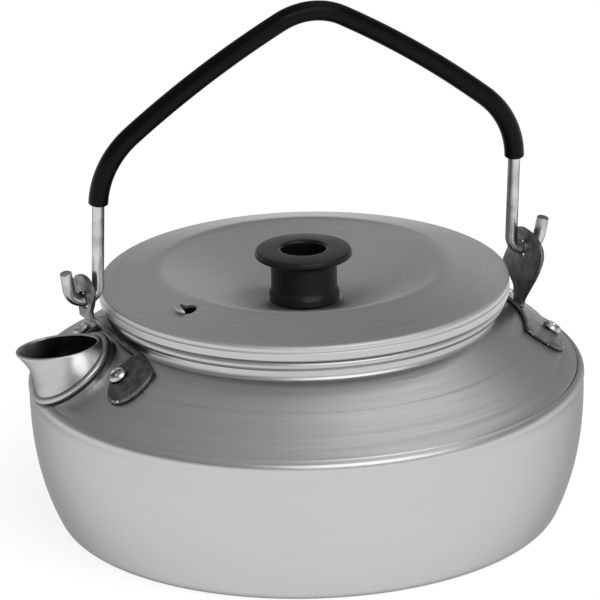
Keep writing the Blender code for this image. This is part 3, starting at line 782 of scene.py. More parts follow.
@dataclass(frozen=True)
class MouldedPlastic:
    """Black moulded plastic with a faint satin grain."""

    name: str
    grey: float = 0.005
    shine: float = 0.3
    roughness: float = 0.30
    grain_scale: float = 2400.0
    grain_depth: float = 0.008 * MM
    wave_scale: float = 90.0
    wave_depth: float = 0.03 * MM

    def material(self) -> bpy.types.Material:
        """Build the finish's node tree.

        Returns:
            The finish as a material.
        """
        nodes = Nodes(self.name)
        nodes.set(specular_ior_level=self.shine)
        coords = nodes.add("ShaderNodeTexCoord").outputs["Object"]
        grain = nodes.noise(coords, self.grain_scale, 3.0, 0.6)
        wave = nodes.noise(coords, self.wave_scale, 2.0)
        nodes.tint(wave, self.grey * 0.8, self.grey * 1.3)
        nodes.link(nodes.span(wave, self.roughness - 0.05, self.roughness + 0.07, 0.3, 0.7),
                   nodes.shader.inputs["Roughness"])
        nodes.bump([(grain, self.grain_depth), (wave, self.wave_depth)])
        return nodes.material


def dress(piece: bpy.types.Object, finish: bpy.types.Material, body: Body,
          nodes: list[str]) -> None:
    """Give a finished piece its material, its place in the frame and the nodes that it stands for.

    Args:
        piece: The finished piece, at the origin.
        finish: Its material.
        body: The body that it rides on.
        nodes: The frame's nodes that it stands for.
    """
    piece.data.materials.clear()
    piece.data.materials.append(finish)
    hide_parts(*nodes)
    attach(piece, body.value)
    LOG.info("%s: %d faces, rides on %s", piece.name, len(piece.data.polygons), body.value)


# The kettle's sub-assemblies


@dataclass
class KettleBody:
    """The spun shell: flat base, bulging wall, edge bead, conical shoulder, neck and rolled rim."""

    neck_r: float = 51.0 * MM
    shoulder_span: float = 24.0 * MM
    edge_z: float = 39.8 * MM
    edge_r: float = 2.5 * MM
    bead_proud: float = 0.15 * MM
    bead_start: float = -20.0
    bead_end: float = 64.0
    wall: float = 1.0 * MM
    base_inset: float = 12.2 * MM
    base_corner_r: float = 5.8 * MM
    wall_lean: float = math.radians(25.2)
    fullness: float = 0.36
    slope: float = math.radians(33.4)
    fillet_r: float = 2.0 * MM
    fillet_steps: int = 8
    neck_rise: float = 5.85 * MM
    roll_r: float = 1.5 * MM
    line_rs: tuple[float, ...] = (69.0 * MM, 60.1 * MM)
    line_depth: float = 0.12 * MM
    steps: int = 240
    seat_steps: int = 96

    def __post_init__(self) -> None:
        """Work out the radii and heights that follow from the sizes."""
        self.body_r = self.neck_r + self.shoulder_span
        self.base_r = self.body_r - self.base_inset
        self.wall_top_r = self.body_r - self.bead_proud
        self.edge_centre = (self.wall_top_r - self.edge_r, self.edge_z)
        self.start_r = self.edge_centre[0] + self.edge_r * math.sin(self.slope)
        self.start_z = self.edge_centre[1] + self.edge_r * math.cos(self.slope)
        self.groove_r = self.start_r - 4 * self.bead_proud
        self.over_r = self.groove_r - 3 * self.bead_proud
        self.rim_z = self.shoulder_z(self.neck_r) + self.neck_rise
        self.mouth_r = self.neck_r - self.wall

    def shoulder_z(self, radius: float) -> float:
        """Return the height of the shoulder's outer face at a radius."""
        return self.start_z + (self.start_r - radius) * math.tan(self.slope)

    def shoulder_frame(self, radius: float, angle: float) -> Matrix:
        """Return a place on the shoulder.

        Args:
            radius: Distance from the kettle's axis.
            angle: Turn about the axis in radians, from +X.

        Returns:
            The place's frame, with Z along the shoulder's normal.
        """
        spot = Matrix.Rotation(angle, 4, "Z")
        spot @= Matrix.Translation((radius, 0, self.shoulder_z(radius)))
        return spot @ Matrix.Rotation(self.slope, 4, "Y")

    def side(self) -> Line:
        """Draw the plain outer line.

        Returns:
            The line from the base's centre up to the neck, as (radius, height).
        """
        line: Line = [(0.0, 0.0)]
        line += arc((self.base_r, self.base_corner_r), self.base_corner_r,
                    -90, -math.degrees(self.wall_lean), 12)
        start = Vector(line[-1])
        end = Vector((self.wall_top_r, self.edge_z))
        handle = self.fullness * (end.y - start.y)
        lean = Vector((math.sin(self.wall_lean), math.cos(self.wall_lean)))
        line += bezier(start, start + lean * handle, end - Vector((0, handle)), end, 24)[1:]
        line += arc(self.edge_centre, self.edge_r, 0, 90 - math.degrees(self.slope), 8)[1:]
        turn = math.radians(90) - self.slope
        fillet_z = self.shoulder_z(self.neck_r) + self.fillet_r * math.tan(turn / 2)
        line += arc((self.neck_r + self.fillet_r, fillet_z), self.fillet_r,
                    180 + math.degrees(turn), 180, self.fillet_steps)
        return line

    def edge_line(self) -> Line:
        """Draw the line over the rolled edge bead.

        Returns:
            The line from the wall's top through the fine groove above the bead.
        """
        bead_r = self.edge_r + self.bead_proud
        low = self.edge_centre[1] + bead_r * math.sin(math.radians(self.bead_start))
        line = [(self.wall_top_r - self.bead_proud, low - 2 * self.bead_proud)]
        line += arc(self.edge_centre, bead_r, self.bead_start, self.bead_end, 14)
        line.append((self.groove_r, self.shoulder_z(self.groove_r) - 2 * self.bead_proud))
        line.append((self.over_r, self.shoulder_z(self.over_r)))
        return line

    def shoulder_line(self) -> Line:
        """Draw the shoulder with its fine turned lines.

        Returns:
            The line from the groove to the neck's fillet.
        """
        far_r = self.neck_r + 2 * self.fillet_r
        half = 3 * self.line_depth
        line = [(r, self.shoulder_z(r)) for r in np.linspace(self.over_r, far_r, 10)[1:]
                if min(abs(r - line_r) for line_r in self.line_rs) > 2 * half]
        for r in self.line_rs:
            line += [(r + side * half, self.shoulder_z(r + side * half)) for side in (1, -1)]
            line.append((r, self.shoulder_z(r) - self.line_depth))
        return sorted(line, reverse=True)

    def rim_line(self) -> Line:
        """Draw the rolled rim.

        Returns:
            The line from the neck round the rim and over the closed top that the cavity opens.
        """
        roll = (self.neck_r + 1.1 * self.roll_r, self.rim_z - self.roll_r)
        lip_r = roll[0] - self.mouth_r
        closing = self.rim_z - lip_r
        line: Line = [(self.neck_r, roll[1] - 0.6 * self.roll_r)]
        line += arc(roll, self.roll_r, -90, 90, 16)
        line += arc((roll[0], closing), lip_r, 90, 150, 6)[1:]
        return line + [(self.mouth_r - self.wall, closing), (0.0, closing)]

    def outline(self) -> Line:
        """Join the outer line with its bead and rim.

        Returns:
            The line from the closed top down to the base.
        """
        plain = self.side()
        wall = [p for p in plain if p[1] < self.edge_z - self.edge_r]
        fillet = plain[-self.fillet_steps - 1:]
        line = wall + self.edge_line() + self.shoulder_line() + fillet + self.rim_line()
        return line[::-1]

    def shell(self, spout: Spout) -> bpy.types.Object:
        """Return the shell with the spout's collar, seat and bore.

        Args:
            spout: The spout that it carries.

        Returns:
            The shell in its place.
        """
        body = turned("kettle_shell", self.outline(), self.steps)
        seat_r = spout.ring_r + spout.seat_gap
        spot = spout.spot(self)
        depth = 6 * self.wall
        collar = place(rod("collar", seat_r, -depth, 2 * self.wall, self.seat_steps), spot)
        inside = offset(self.side(), self.wall)
        top = self.rim_z + self.wall
        cavity = turned("cavity", (inside + [(self.mouth_r, top), (0.0, top)])[::-1], self.steps)
        bore_r = spout.tube_r + spout.bore_gap
        clear = seat_r + spout.seat_gap
        seat = turned("seat", [(0.0, depth), (clear, depth), (clear, 0.0), (bore_r, 0.0),
                               (bore_r, -depth), (0.0, -depth)], self.seat_steps)
        place(seat, spot)
        combine(body, [collar], "UNION")
        combine(body, [cavity, seat], "DIFFERENCE")
        shade(body, 30)
        return body

    def build(self, spout: Spout) -> None:
        """Build and dress the shell for its spout."""
        metal = SpunAluminium("spun_body_aluminium").material()
        dress(self.shell(spout), metal, Body.KETTLE, ["kettle_body"])


@dataclass
class Spout:
    """The turned spout: a swaged tube with a seating ring, flared and cut to a slanted mouth."""

    tilt: float = math.radians(37.0)
    inset: float = 10.4 * MM
    seat_rise: float = 0.5 * MM
    seat_gap: float = 0.3 * MM
    bore_gap: float = 0.4 * MM
    sheet: float = 0.9 * MM
    tube_r: float = 11.0 * MM
    ring_r: float = 12.9 * MM
    ring_bead_r: float = 0.9 * MM
    throat_r: float = 8.45 * MM
    throat_s: float = 11.0 * MM
    root_flare_r: float = 15.0 * MM
    mouth_flare_r: float = 44.0 * MM
    mouth_s: float = 9.55 * MM
    mouth_tilt: float = math.radians(6.0)
    swage_r: float = 12.4 * MM
    swage_h: float = 0.9 * MM
    swage_depth: float = 2.7 * MM
    steps: int = 144

    def spot(self, body: KettleBody) -> Matrix:
        """Return the spout's frame.

        Args:
            body: The kettle's shell, which carries it.

        Returns:
            The frame, with its origin on the seat and Z along the tube's axis.
        """
        radius = body.body_r - self.inset
        seat = Vector((-radius, 0, body.shoulder_z(radius) + self.seat_rise))
        return Matrix.Translation(seat) @ Matrix.Rotation(-self.tilt, 4, "Y")

    def radius(self, s: float) -> float:
        """Return the outer radius of the flared tube at a height above the seat."""
        flare = self.root_flare_r if s < self.throat_s else self.mouth_flare_r
        return self.throat_r + flare - math.sqrt(flare ** 2 - (s - self.throat_s) ** 2)

    def mouth_height(self, angle: float) -> float:
        """Return how far up the tube's side the slanted mouth lies.

        Args:
            angle: Turn about the tube's axis in radians.

        Returns:
            The height above the seat, found by a few steps of nearing.
        """
        lean = self.tilt - self.mouth_tilt
        height = self.mouth_s
        for _ in range(8):
            height = self.mouth_s - self.radius(height) * math.cos(angle) * math.tan(lean)
        return height

    def section(self, angle: float) -> Line:
        """Return the tube wall's closed section.

        Args:
            angle: Turn about the tube's axis in radians.

        Returns:
            The section's points as (radius, height above the seat).
        """
        foot = self.seat_gap + 2 * self.ring_bead_r
        end = self.mouth_height(angle)
        heights = np.linspace(foot, end - self.sheet / 2, 20)
        outer = [(self.radius(s), s) for s in heights]
        inner = offset(outer, self.sheet)
        bore = self.tube_r - self.sheet
        inner = [(min(r, bore), s) for r, s in inner]
        middle = ((outer[-1][0] + inner[-1][0]) / 2, (outer[-1][1] + inner[-1][1]) / 2)
        tip = arc(middle, self.sheet / 2, 0, 180, 6)[1:-1]
        bead = arc((self.ring_r - self.ring_bead_r, self.seat_gap + self.ring_bead_r),
                   self.ring_bead_r, -90, 90, 12)
        low = -self.swage_depth - self.swage_h
        stem = [(bore, low), (self.swage_r, low), (self.swage_r, -self.swage_depth),
                (self.tube_r, -self.swage_depth), (self.tube_r, self.seat_gap)]
        return stem + bead + outer + tip + inner[::-1]

    def tube(self, body: KettleBody) -> bpy.types.Object:
        """Return the flared tube.

        Args:
            body: The kettle's shell, which carries it.

        Returns:
            The tube in its place.
        """
        sections = []
        for angle in np.linspace(0, 2 * math.pi, self.steps, endpoint=False):
            ring = np.array(self.section(angle))
            sections.append(np.stack([ring[:, 0] * math.cos(angle), ring[:, 0] * math.sin(angle),
                                      ring[:, 1]], axis=1))
        spout = looped("spout_tube", sections)
        place(spout, self.spot(body))
        shade(spout, 35)
        return spout

    def build(self, body: KettleBody) -> None:
        """Build and dress the spout.

        Args:
            body: The kettle's shell, which carries it.
        """
        metal = SpunAluminium("turned_spout_aluminium", dark=0.44, light=0.54, edge=0.4,
                              anisotropy=0.3, ring_depth=0.004 * MM, rings_from=0.0,
                              centre=tuple(self.spot(body).translation), tilt=-self.tilt)
        dress(self.tube(body), metal.material(), Body.KETTLE, ["spout"])


@dataclass
class Lid:
    """The spun lid: dished top, folded side band with a groove, and a skirt in the neck."""

    sheet: float = 0.8 * MM
    overhang: float = 4.15 * MM
    band_height: float = 4.1 * MM
    groove_z: float = 2.4 * MM
    groove_depth: float = 0.2 * MM
    crest_inset: float = 16.55 * MM
    crest_rise: float = 8.3 * MM
    crest_round_r: float = 6.0 * MM
    dish_floor_r: float = 10.2 * MM
    dish_depth: float = 9.8 * MM
    skirt_gap: float = 0.4 * MM
    skirt_depth: float = 5.5 * MM
    hole_r: float = 2.3 * MM
    seat_gap: float = 0.3 * MM
    vent_r: float = 2.3 * MM
    vent_inset: float = 11.25 * MM
    vent_angle: float = math.radians(209.5)
    lip_r: float = 0.85 * MM
    lip_lift: float = 0.5 * MM
    lip_turn: tuple[float, float] = (88.0, 236.0)
    lip_fullness: float = 0.6
    lip_out: float = 0.4
    lip_end_r: float = 0.1 * MM
    step_length: float = 2.5 * MM
    steps: int = 240

    def heights(self, body: KettleBody) -> tuple[float, float]:
        """Return the heights of the lid's seat and of its dish's floor."""
        seat = body.rim_z + self.seat_gap
        return seat, seat + self.crest_rise - self.dish_depth

    def line(self, body: KettleBody) -> Line:
        """Return the sheet's outer line.

        Args:
            body: The kettle's shell, on whose rim the lid lies.

        Returns:
            The line from the centre hole over the rim to the skirt's end.
        """
        seat, floor = self.heights(body)
        radius = body.neck_r + self.overhang
        groove = seat + self.groove_z
        half = 1.25 * self.groove_depth
        skirt = body.mouth_r - self.skirt_gap
        return rounded([
            (self.hole_r, floor, 0),
            (self.dish_floor_r, floor, 2 * self.sheet),
            (radius - self.crest_inset, seat + self.crest_rise, self.crest_round_r),
            (radius, seat + self.band_height, 1.25 * self.sheet),
            (radius, groove + half, 0.3 * half),
            (radius - self.groove_depth, groove, 0.3 * half),
            (radius, groove - half, 0.3 * half),
            (radius, seat, 0.6 * self.sheet),
            (skirt, seat, 0.1 * self.sheet),
            (skirt, seat - self.skirt_depth, 0),
        ], 8)

    def vent_lip(self, middle: Vector) -> bpy.types.Object:
        """Return the burr that the punch raised along the vent's outer side.

        Args:
            middle: The vent's middle on the sheet's top.

        Returns:
            The closed burr, thin at both ends.
        """
        steps = 40
        sides = 16
        first, last = self.lip_turn
        verts = []
        for k in range(steps + 1):
            share = k / steps
            angle = math.radians(first + (last - first) * share)
            swell = math.sin(math.pi * share) ** self.lip_fullness
            radius = self.lip_end_r + self.lip_r * swell
            spoke = Vector((math.cos(angle), math.sin(angle), 0))
            spot = middle + spoke * (self.vent_r + self.lip_out * self.lip_r)
            spot += Vector((0, 0, self.lip_lift * swell))
            for turn in np.linspace(0, 2 * math.pi, sides, endpoint=False):
                aside = math.cos(turn) * spoke + Vector((0, 0, math.sin(turn)))
                verts.append(spot + radius * aside)
        faces = [tuple(range(sides)), tuple(range((steps + 1) * sides - 1, steps * sides - 1, -1))]
        faces += ring_faces(steps + 1, sides)[:-sides]
        lip = add_mesh("vent_lip", verts, faces)
        face_out(lip)
        return lip

    def spun_sheet(self, body: KettleBody) -> bpy.types.Object:
        """Return the lid's sheet with its vent.

        Args:
            body: The kettle's shell, on whose rim the lid lies.

        Returns:
            The sheet in its place.
        """
        line = self.line(body)
        dense: Line = []
        for a, b in zip(line, line[1:]):
            parts = max(1, round(math.dist(a, b) / self.step_length))
            dense += [(a[0] + (b[0] - a[0]) * k / parts, a[1] + (b[1] - a[1]) * k / parts)
                      for k in range(parts)]
        dense.append(line[-1])
        lid = turned("lid_sheet", dense + offset(dense, -self.sheet)[::-1], self.steps, closed=True)
        seat, _ = self.heights(body)
        vent = rod("vent", self.vent_r, seat, seat + 2 * self.crest_rise, 48)
        spot = Matrix.Rotation(self.vent_angle, 4, "Z")
        spot @= Matrix.Translation((body.neck_r + self.overhang - self.vent_inset, 0, 0))
        fall = (self.crest_rise - self.band_height) / self.crest_inset
        top = seat + self.band_height + fall * self.vent_inset
        combine(lid, [self.vent_lip(spot.translation + Vector((0, 0, top)))], "UNION")
        combine(lid, [place(vent, spot)], "DIFFERENCE")
        shade(lid, 30)
        return lid

    def build(self, body: KettleBody) -> None:
        """Build and dress the lid.

        Args:
            body: The kettle's shell, on whose rim the lid lies.
        """
        metal = SpunAluminium("spun_lid_aluminium", dark=0.52, light=0.58, edge=1.0,
                              roughness=0.45, rough_spread=0.03, ring_depth=0.002 * MM,
                              rings_from=0.0).material()
        dress(self.spun_sheet(body), metal, Body.LID, ["lid"])


@dataclass
class Knob:
    """The plastic knob, and the screw, washer and nut that hold it."""

    foot_r: float = 9.5 * MM
    foot_h: float = 1.6 * MM
    foot_flare: float = 1.4 * MM
    stem_r: float = 8.9 * MM
    disc_r: float = 13.1 * MM
    disc_h: float = 1.8 * MM
    disc_slant: float = 1.2 * MM
    soft_r: float = 0.6 * MM
    height: float = 13.9 * MM
    bore_r: float = 6.0 * MM
    floor: float = 2.8 * MM
    screw_r: float = 2.0 * MM
    head_r: float = 3.6 * MM
    head_h: float = 2.2 * MM
    slot_w: float = 0.9 * MM
    slot_depth: float = 1.0 * MM
    screw_end: float = 1.2 * MM
    washer_r: float = 5.0 * MM
    washer_h: float = 1.0 * MM
    nut_flats: float = 7.0 * MM
    nut_h: float = 3.2 * MM
    nut_chamfer: float = 0.25 * MM
    gap: float = 0.3 * MM
    steps: int = 128

    def moulding(self, dish_z: float) -> bpy.types.Object:
        """Return the knob on the dish's floor.

        Args:
            dish_z: Height of the dish's floor.

        Returns:
            The piece in its place.
        """
        low = dish_z + self.gap
        top = low + self.height
        disc_low = top - self.gap - self.disc_h
        floor = low + self.floor
        edge = 0.45 * self.disc_h
        soft = 0.4 * self.soft_r
        line = rounded([
            (self.screw_r + self.gap, floor, 0),
            (self.bore_r, floor, soft),
            (self.bore_r, top, 1.5 * self.soft_r),
            (self.disc_r, top - self.gap, edge),
            (self.disc_r, disc_low, 0.9 * edge),
            (self.stem_r, disc_low - self.disc_slant, 2.5 * self.soft_r),
            (self.stem_r, low + self.foot_h + self.foot_flare, 3 * self.soft_r),
            (self.foot_r, low + self.foot_h, 1.5 * soft),
            (self.foot_r, low, 0.5 * soft),
            (self.screw_r + self.gap, low, 0),
        ], 8)
        knob = turned("knob_moulding", line, self.steps, closed=True)
        shade(knob, 45)
        return knob

    def screw(self, dish_z: float, sheet: float) -> bpy.types.Object:
        """Return the slotted screw down the knob's bore.

        Args:
            dish_z: Height of the dish's floor.
            sheet: Thickness of the lid's sheet.

        Returns:
            The piece in its place.
        """
        head = dish_z + self.gap + self.floor + self.gap
        end = dish_z - sheet - self.gap - self.washer_h - self.gap - self.nut_h - self.screw_end
        profile = [(0.0, head + self.head_h)]
        profile += rounded([
            (0.1 * self.head_r, head + self.head_h, 0),
            (self.head_r, head + self.head_h, 0.5 * self.head_h),
            (self.head_r, head, 0.1 * MM),
            (self.screw_r, head, 0.1 * MM),
            (self.screw_r, end, 0.3 * MM),
            (0.1 * self.screw_r, end, 0),
        ], 5)
        profile.append((0.0, end))
        screw = turned("knob_screw_turned", profile, 64)
        half = self.slot_w / 2
        reach = 2 * self.head_r
        slot = prism("slot", [(-reach, -half), (reach, -half), (reach, half), (-reach, half)],
                     head + self.head_h - self.slot_depth, head + 2 * self.head_h)
        combine(screw, [slot], "DIFFERENCE")
        shade(screw, 35)
        return screw

    def washer(self, dish_z: float, sheet: float) -> bpy.types.Object:
        """Return the washer under the lid.

        Args:
            dish_z: Height of the dish's floor.
            sheet: Thickness of the lid's sheet.

        Returns:
            The piece in its place.
        """
        low = dish_z - sheet - self.gap - self.washer_h
        soft = 0.15 * MM
        inner = self.screw_r + self.gap
        middle = (inner + self.washer_r) / 2
        high = low + self.washer_h
        line = rounded([(middle, high, 0), (self.washer_r, high, soft), (self.washer_r, low, soft),
                        (inner, low, soft), (inner, high, soft), (middle, high, 0)], 4)[:-1]
        washer = turned("knob_washer_turned", line, 64, closed=True)
        shade(washer, 35)
        return washer

    def nut(self, dish_z: float, sheet: float) -> bpy.types.Object:
        """Return the hexagonal nut, with its corners chamfered.

        Args:
            dish_z: Height of the dish's floor.
            sheet: Thickness of the lid's sheet.

        Returns:
            The piece in its place.
        """
        low = dish_z - sheet - 2 * self.gap - self.washer_h - self.nut_h
        corner = self.nut_flats / 2 / math.cos(math.pi / 6)
        outline = [(corner * math.cos(a), corner * math.sin(a))
                   for a in np.linspace(0, 2 * math.pi, 6, endpoint=False)]
        nut = prism("knob_nut_cut", outline, low, low + self.nut_h)
        combine(nut, [rod("bore", self.screw_r + self.gap, low - MM, low + self.nut_h + MM, 48)],
                "DIFFERENCE")
        bevel(nut, self.nut_chamfer, 40)
        shade(nut, 35)
        return nut

    def build(self, dish_z: float, sheet: float) -> None:
        """Build and dress the knob and its fastening.

        Args:
            dish_z: Height of the dish's floor.
            sheet: Thickness of the lid's sheet.
        """
        plastic = MouldedPlastic("knob_plastic").material()
        steel = DrawnWire("fastener_steel", dark=0.4, light=0.6, roughness=0.28,
                          stretch=(1.0, 1.0, 1.0)).material()
        dress(self.moulding(dish_z), plastic, Body.LID, ["lid_knob"])
        for make, node in ((self.screw, "knob_screw"), (self.washer, "knob_washer"),
                           (self.nut, "knob_nut")):
            dress(make(dish_z, sheet), steel, Body.LID, [node])


@dataclass
class Ears:
    """The two pressed steel ears that the bail hooks into, each tab turned a little and askew."""

    sheet: float = 1.2 * MM
    gap: float = 0.3 * MM
    hole_r: float = 2.5 * MM
    rivet_hole_r: float = 1.9 * MM
    spout_x: float = 60.8 * MM
    rear_x: float = 61.9 * MM
    hinge_rise: float = 5.5 * MM
    spout_lean: float = math.radians(5.0)
    spout_turn: float = math.radians(12.0)
    spout_skew: float = math.radians(16.0)
    spout_top: float = 7.3 * MM
    spout_head_h: float = 9.4 * MM
    spout_half: float = 6.6 * MM
    spout_waist: float = 3.7 * MM
    spout_neck_gap: float = 1.7 * MM
    spout_bend: float = 4.2 * MM
    spout_spread: float = 18.4 * MM
    spout_curve: float = 2.0
    web_rise: float = 0.8
    spout_rivet_inset: float = 6.6 * MM
    spout_rivet_y: float = 18.4 * MM
    foot_length: float = 13.4 * MM
    foot_width: float = 14.0 * MM
    rear_lean: float = math.radians(5.5)
    rear_turn: float = math.radians(6.0)
    rear_top: float = 5.8 * MM
    rear_half: float = 13.0 * MM
    rear_neck_half: float = 2.7 * MM
    flange_inset: float = 3.0 * MM
    flange_width: float = 11.2 * MM
    flange_half: float = 23.4 * MM
    flange_far_half: float = 32.0 * MM
    rear_rivet_inset: float = 7.2 * MM
    rear_rivet_end_inset: float = 12.4 * MM
    spout_foot: tuple[Point, ...] = (
        (0.0, -0.11), (0.32, -0.25), (0.61, -0.16), (0.97, 0.15), (1.0, 0.42), (0.86, 0.62),
        (0.58, 0.73), (0.2, 0.74), (0.1, 0.45), (0.0, 0.18))
    flange_end: tuple[Point, ...] = (
        (0.0, 0.9), (0.12, 0.98), (0.35, 1.0), (0.78, 1.0), (0.94, 0.9), (1.0, 0.72))
    rear_near: tuple[Point, ...] = (
        (-0.23, -0.86), (-0.52, -0.58), (-0.82, -0.28), (-0.97, -0.04), (-1.0, 0.18), (-0.93, 0.52),
        (-0.74, 0.82), (-0.4, 1.0), (0.08, 1.0))
    rear_far: tuple[Point, ...] = (
        (0.33, 0.84), (0.52, 0.4), (0.64, -0.08), (0.84, -0.32), (0.9, -0.44), (0.76, -0.54),
        (0.45, -0.61), (0.22, -0.74))
    pierce_r: float = 0.85 * MM
    pierce_rise: float = 0.62
    voxel: float = 0.2 * MM
    passes: int = 18

    def hinge_z(self, body: KettleBody) -> float:
        """Return the height of the bail's hinge line."""
        return body.rim_z + self.hinge_rise

    def web_foot(self, body: KettleBody) -> Point:
        """Return the radius and the height of the web's foot on the shoulder."""
        radius = body.neck_r + self.spout_neck_gap
        return radius, body.shoulder_z(radius) + self.web_rise * self.sheet

    def spout_rivet(self, body: KettleBody) -> tuple[float, float]:
        """Return the radius and the angle of the spout ear's rivets."""
        radius = body.neck_r + self.spout_neck_gap + self.spout_rivet_inset
        return radius, math.asin(self.spout_rivet_y / radius)

    def rear_rivets(self) -> tuple[float, float, float]:
        """Return where the rear ear's rivets are.

        Returns:
            Their radius, and the near and the far one's angles.
        """
        radius = self.rear_x - self.flange_inset + self.rear_rivet_inset
        near, far = [math.asin((half - self.rear_rivet_end_inset) / radius)
                     for half in (self.flange_half, self.flange_far_half)]
        return radius, -near, far

    def spout_spots(self, body: KettleBody) -> list[Matrix]:
        """Return the frames of the spout ear's rivets, the near one first."""
        radius, turn = self.spout_rivet(body)
        return [body.shoulder_frame(radius, math.pi + side * turn) for side in (1, -1)]

    def rear_spots(self, body: KettleBody) -> list[Matrix]:
        """Return the frames of the rear ear's rivets, the near one first."""
        radius, *turns = self.rear_rivets()
        return [body.shoulder_frame(radius, turn) for turn in turns]

    def shoulder_sheet(self, body: KettleBody, inner: float, outer: float) -> bpy.types.Object:
        """Return a ring of sheet lying on the shoulder.

        Args:
            body: The kettle's shell.
            inner: The ring's inner radius.
            outer: Its outer radius.

        Returns:
            The closed ring.
        """
        def lifted(radius: float, height: float) -> Point:
            """Return a point above the shoulder along its normal."""
            return (radius + height * math.sin(body.slope),
                    body.shoulder_z(radius) + height * math.cos(body.slope))
        low = self.gap
        high = self.gap + self.sheet
        profile = [lifted(inner, high), lifted(outer, high), lifted(outer, low), lifted(inner, low)]
        return turned("shoulder_sheet", profile, body.steps, closed=True)

    def foot(self, body: KettleBody, outline: list[Point], inner: float,
             outer: float) -> bpy.types.Object:
        """Return a foot, the part of the shoulder's sheet inside an outline.

        Args:
            body: The kettle's shell.
            outline: The foot's outline in plan.
            inner: A radius inside the foot's own.
            outer: A radius outside it.

        Returns:
            The closed foot.
        """
        foot = self.shoulder_sheet(body, inner, outer)
        combine(foot, [prism("plan", outline, 0.0, 2 * body.rim_z)], "INTERSECT")
        return foot

    def tab(self, name: str, outline: list[Point], stand: Matrix) -> bpy.types.Object:
        """Return an ear's flat tab, from an outline to the far side and up from the hinge line."""
        upright = Matrix(((0, 0, 1, 0), (1, 0, 0, 0), (0, 1, 0, 0), (0, 0, 0, 1)))
        return place(prism(name, outline, -self.sheet / 2, self.sheet / 2), stand @ upright)

    def stand(self, ear_x: float, hinge_z: float, lean: float, turn: float) -> Matrix:
        """Return the frame of a tab on the hinge line."""
        spot = Matrix.Translation((ear_x, 0, hinge_z)) @ Matrix.Rotation(turn, 4, "Z")
        return spot @ Matrix.Rotation(lean, 4, "Y")

    def hole(self, ear_x: float, hinge_z: float) -> bpy.types.Object:
        """Return the cutter for the bail's hole.

        Args:
            ear_x: Where the ear stands along the hinge line.
            hinge_z: Height of the hinge line.

        Returns:
            The cutter in its place.
        """
        reach = 5 * self.sheet
        spot = Matrix.Translation((ear_x, 0, hinge_z)) @ Matrix.Rotation(math.pi / 2, 4, "Y")
        return place(rod("hole", self.hole_r, -reach, reach, 64), spot)

    def rivet_holes(self, spots: list[Matrix]) -> list[bpy.types.Object]:
        """Return the cutters for the rivets' holes.

        Args:
            spots: The rivets' frames.

        Returns:
            The cutters in their places.
        """
        reach = 3 * self.sheet
        return [place(rod("rivet_hole", self.rivet_hole_r, -reach, reach, 32), spot)
                for spot in spots]

    def spout_tab(self) -> list[Point]:
        """Draw the spout ear's tab, a skewed oval head on a waist.

        Returns:
            The outline as (across, up) from the hinge line.
        """
        low = -self.spout_bend - self.sheet
        middle = self.spout_top - self.spout_head_h / 2
        oval = []
        for x, y in arc((0, 0), 1.0, -38, 218, 48):
            spot = Vector((x * self.spout_half, y * self.spout_head_h / 2))
            spot.rotate(Matrix.Rotation(-self.spout_skew, 2))
            oval.append((spot.x, spot.y + middle))
        neck = [(self.spout_waist, low), (self.spout_waist, -self.hole_r)]
        return neck + oval + [(-x, y) for x, y in neck[::-1]]

    def web(self, body: KettleBody, hinge_z: float) -> bpy.types.Object:
        """Return the spout ear's sloping web, bent and twisted up to the tab.

        Args:
            body: The kettle's shell.
            hinge_z: Height of the hinge line.

        Returns:
            The closed web.
        """
        columns = 48
        rows = 16
        foot_r, foot_z = self.web_foot(body)
        top_z = hinge_z - self.spout_bend
        top_r = self.spout_x - self.spout_bend * math.tan(self.spout_lean)
        spread = math.asin(self.spout_spread / foot_r)
        waist = self.spout_waist / top_r
        verts = []
        for rise in np.linspace(0.0, 1.0, rows + 1):
            half = waist + (spread - waist) * (1 - rise) ** self.spout_curve
            radius = foot_r + (top_r - foot_r) * rise
            middle = Vector((-radius, 0, 0))
            for across in np.linspace(-1.0, 1.0, columns + 1):
                angle = half * across
                aside = Vector((-radius * math.cos(angle), -radius * math.sin(angle), 0)) - middle
                aside.rotate(Matrix.Rotation(self.spout_turn * rise ** 2, 3, "Z"))
                verts.append(middle + aside + Vector((0, 0, foot_z + (top_z - foot_z) * rise)))
        wide = columns + 1
        faces = [(i * wide + k, i * wide + k + 1, (i + 1) * wide + k + 1, (i + 1) * wide + k)
                 for i in range(rows) for k in range(columns)]
        web = add_mesh("web", verts, faces)
        thick = web.modifiers.new("sheet", "SOLIDIFY")
        thick.thickness = self.sheet
        thick.offset = 0.0
        thick.use_even_offset = True
        settle(web)
        face_out(web)
        return web

    def pierced(self, body: KettleBody, hinge_z: float) -> bpy.types.Object:
        """Return the cutter for the small hole pierced through the web.

        Args:
            body: The kettle's shell.
            hinge_z: Height of the hinge line.

        Returns:
            The cutter in its place.
        """
        foot_r, foot_z = self.web_foot(body)
        low = Vector((-foot_r, 0, foot_z))
        high = Vector((-self.spout_x, 0, hinge_z - self.spout_bend))
        spot = Matrix.Translation(low.lerp(high, self.pierce_rise))
        spot @= Matrix.Rotation(math.atan2(high.z - low.z, low.x - high.x), 4, "Y")
        reach = 2 * self.sheet
        return place(rod("pierced", self.pierce_r, -reach, reach, 32), spot)

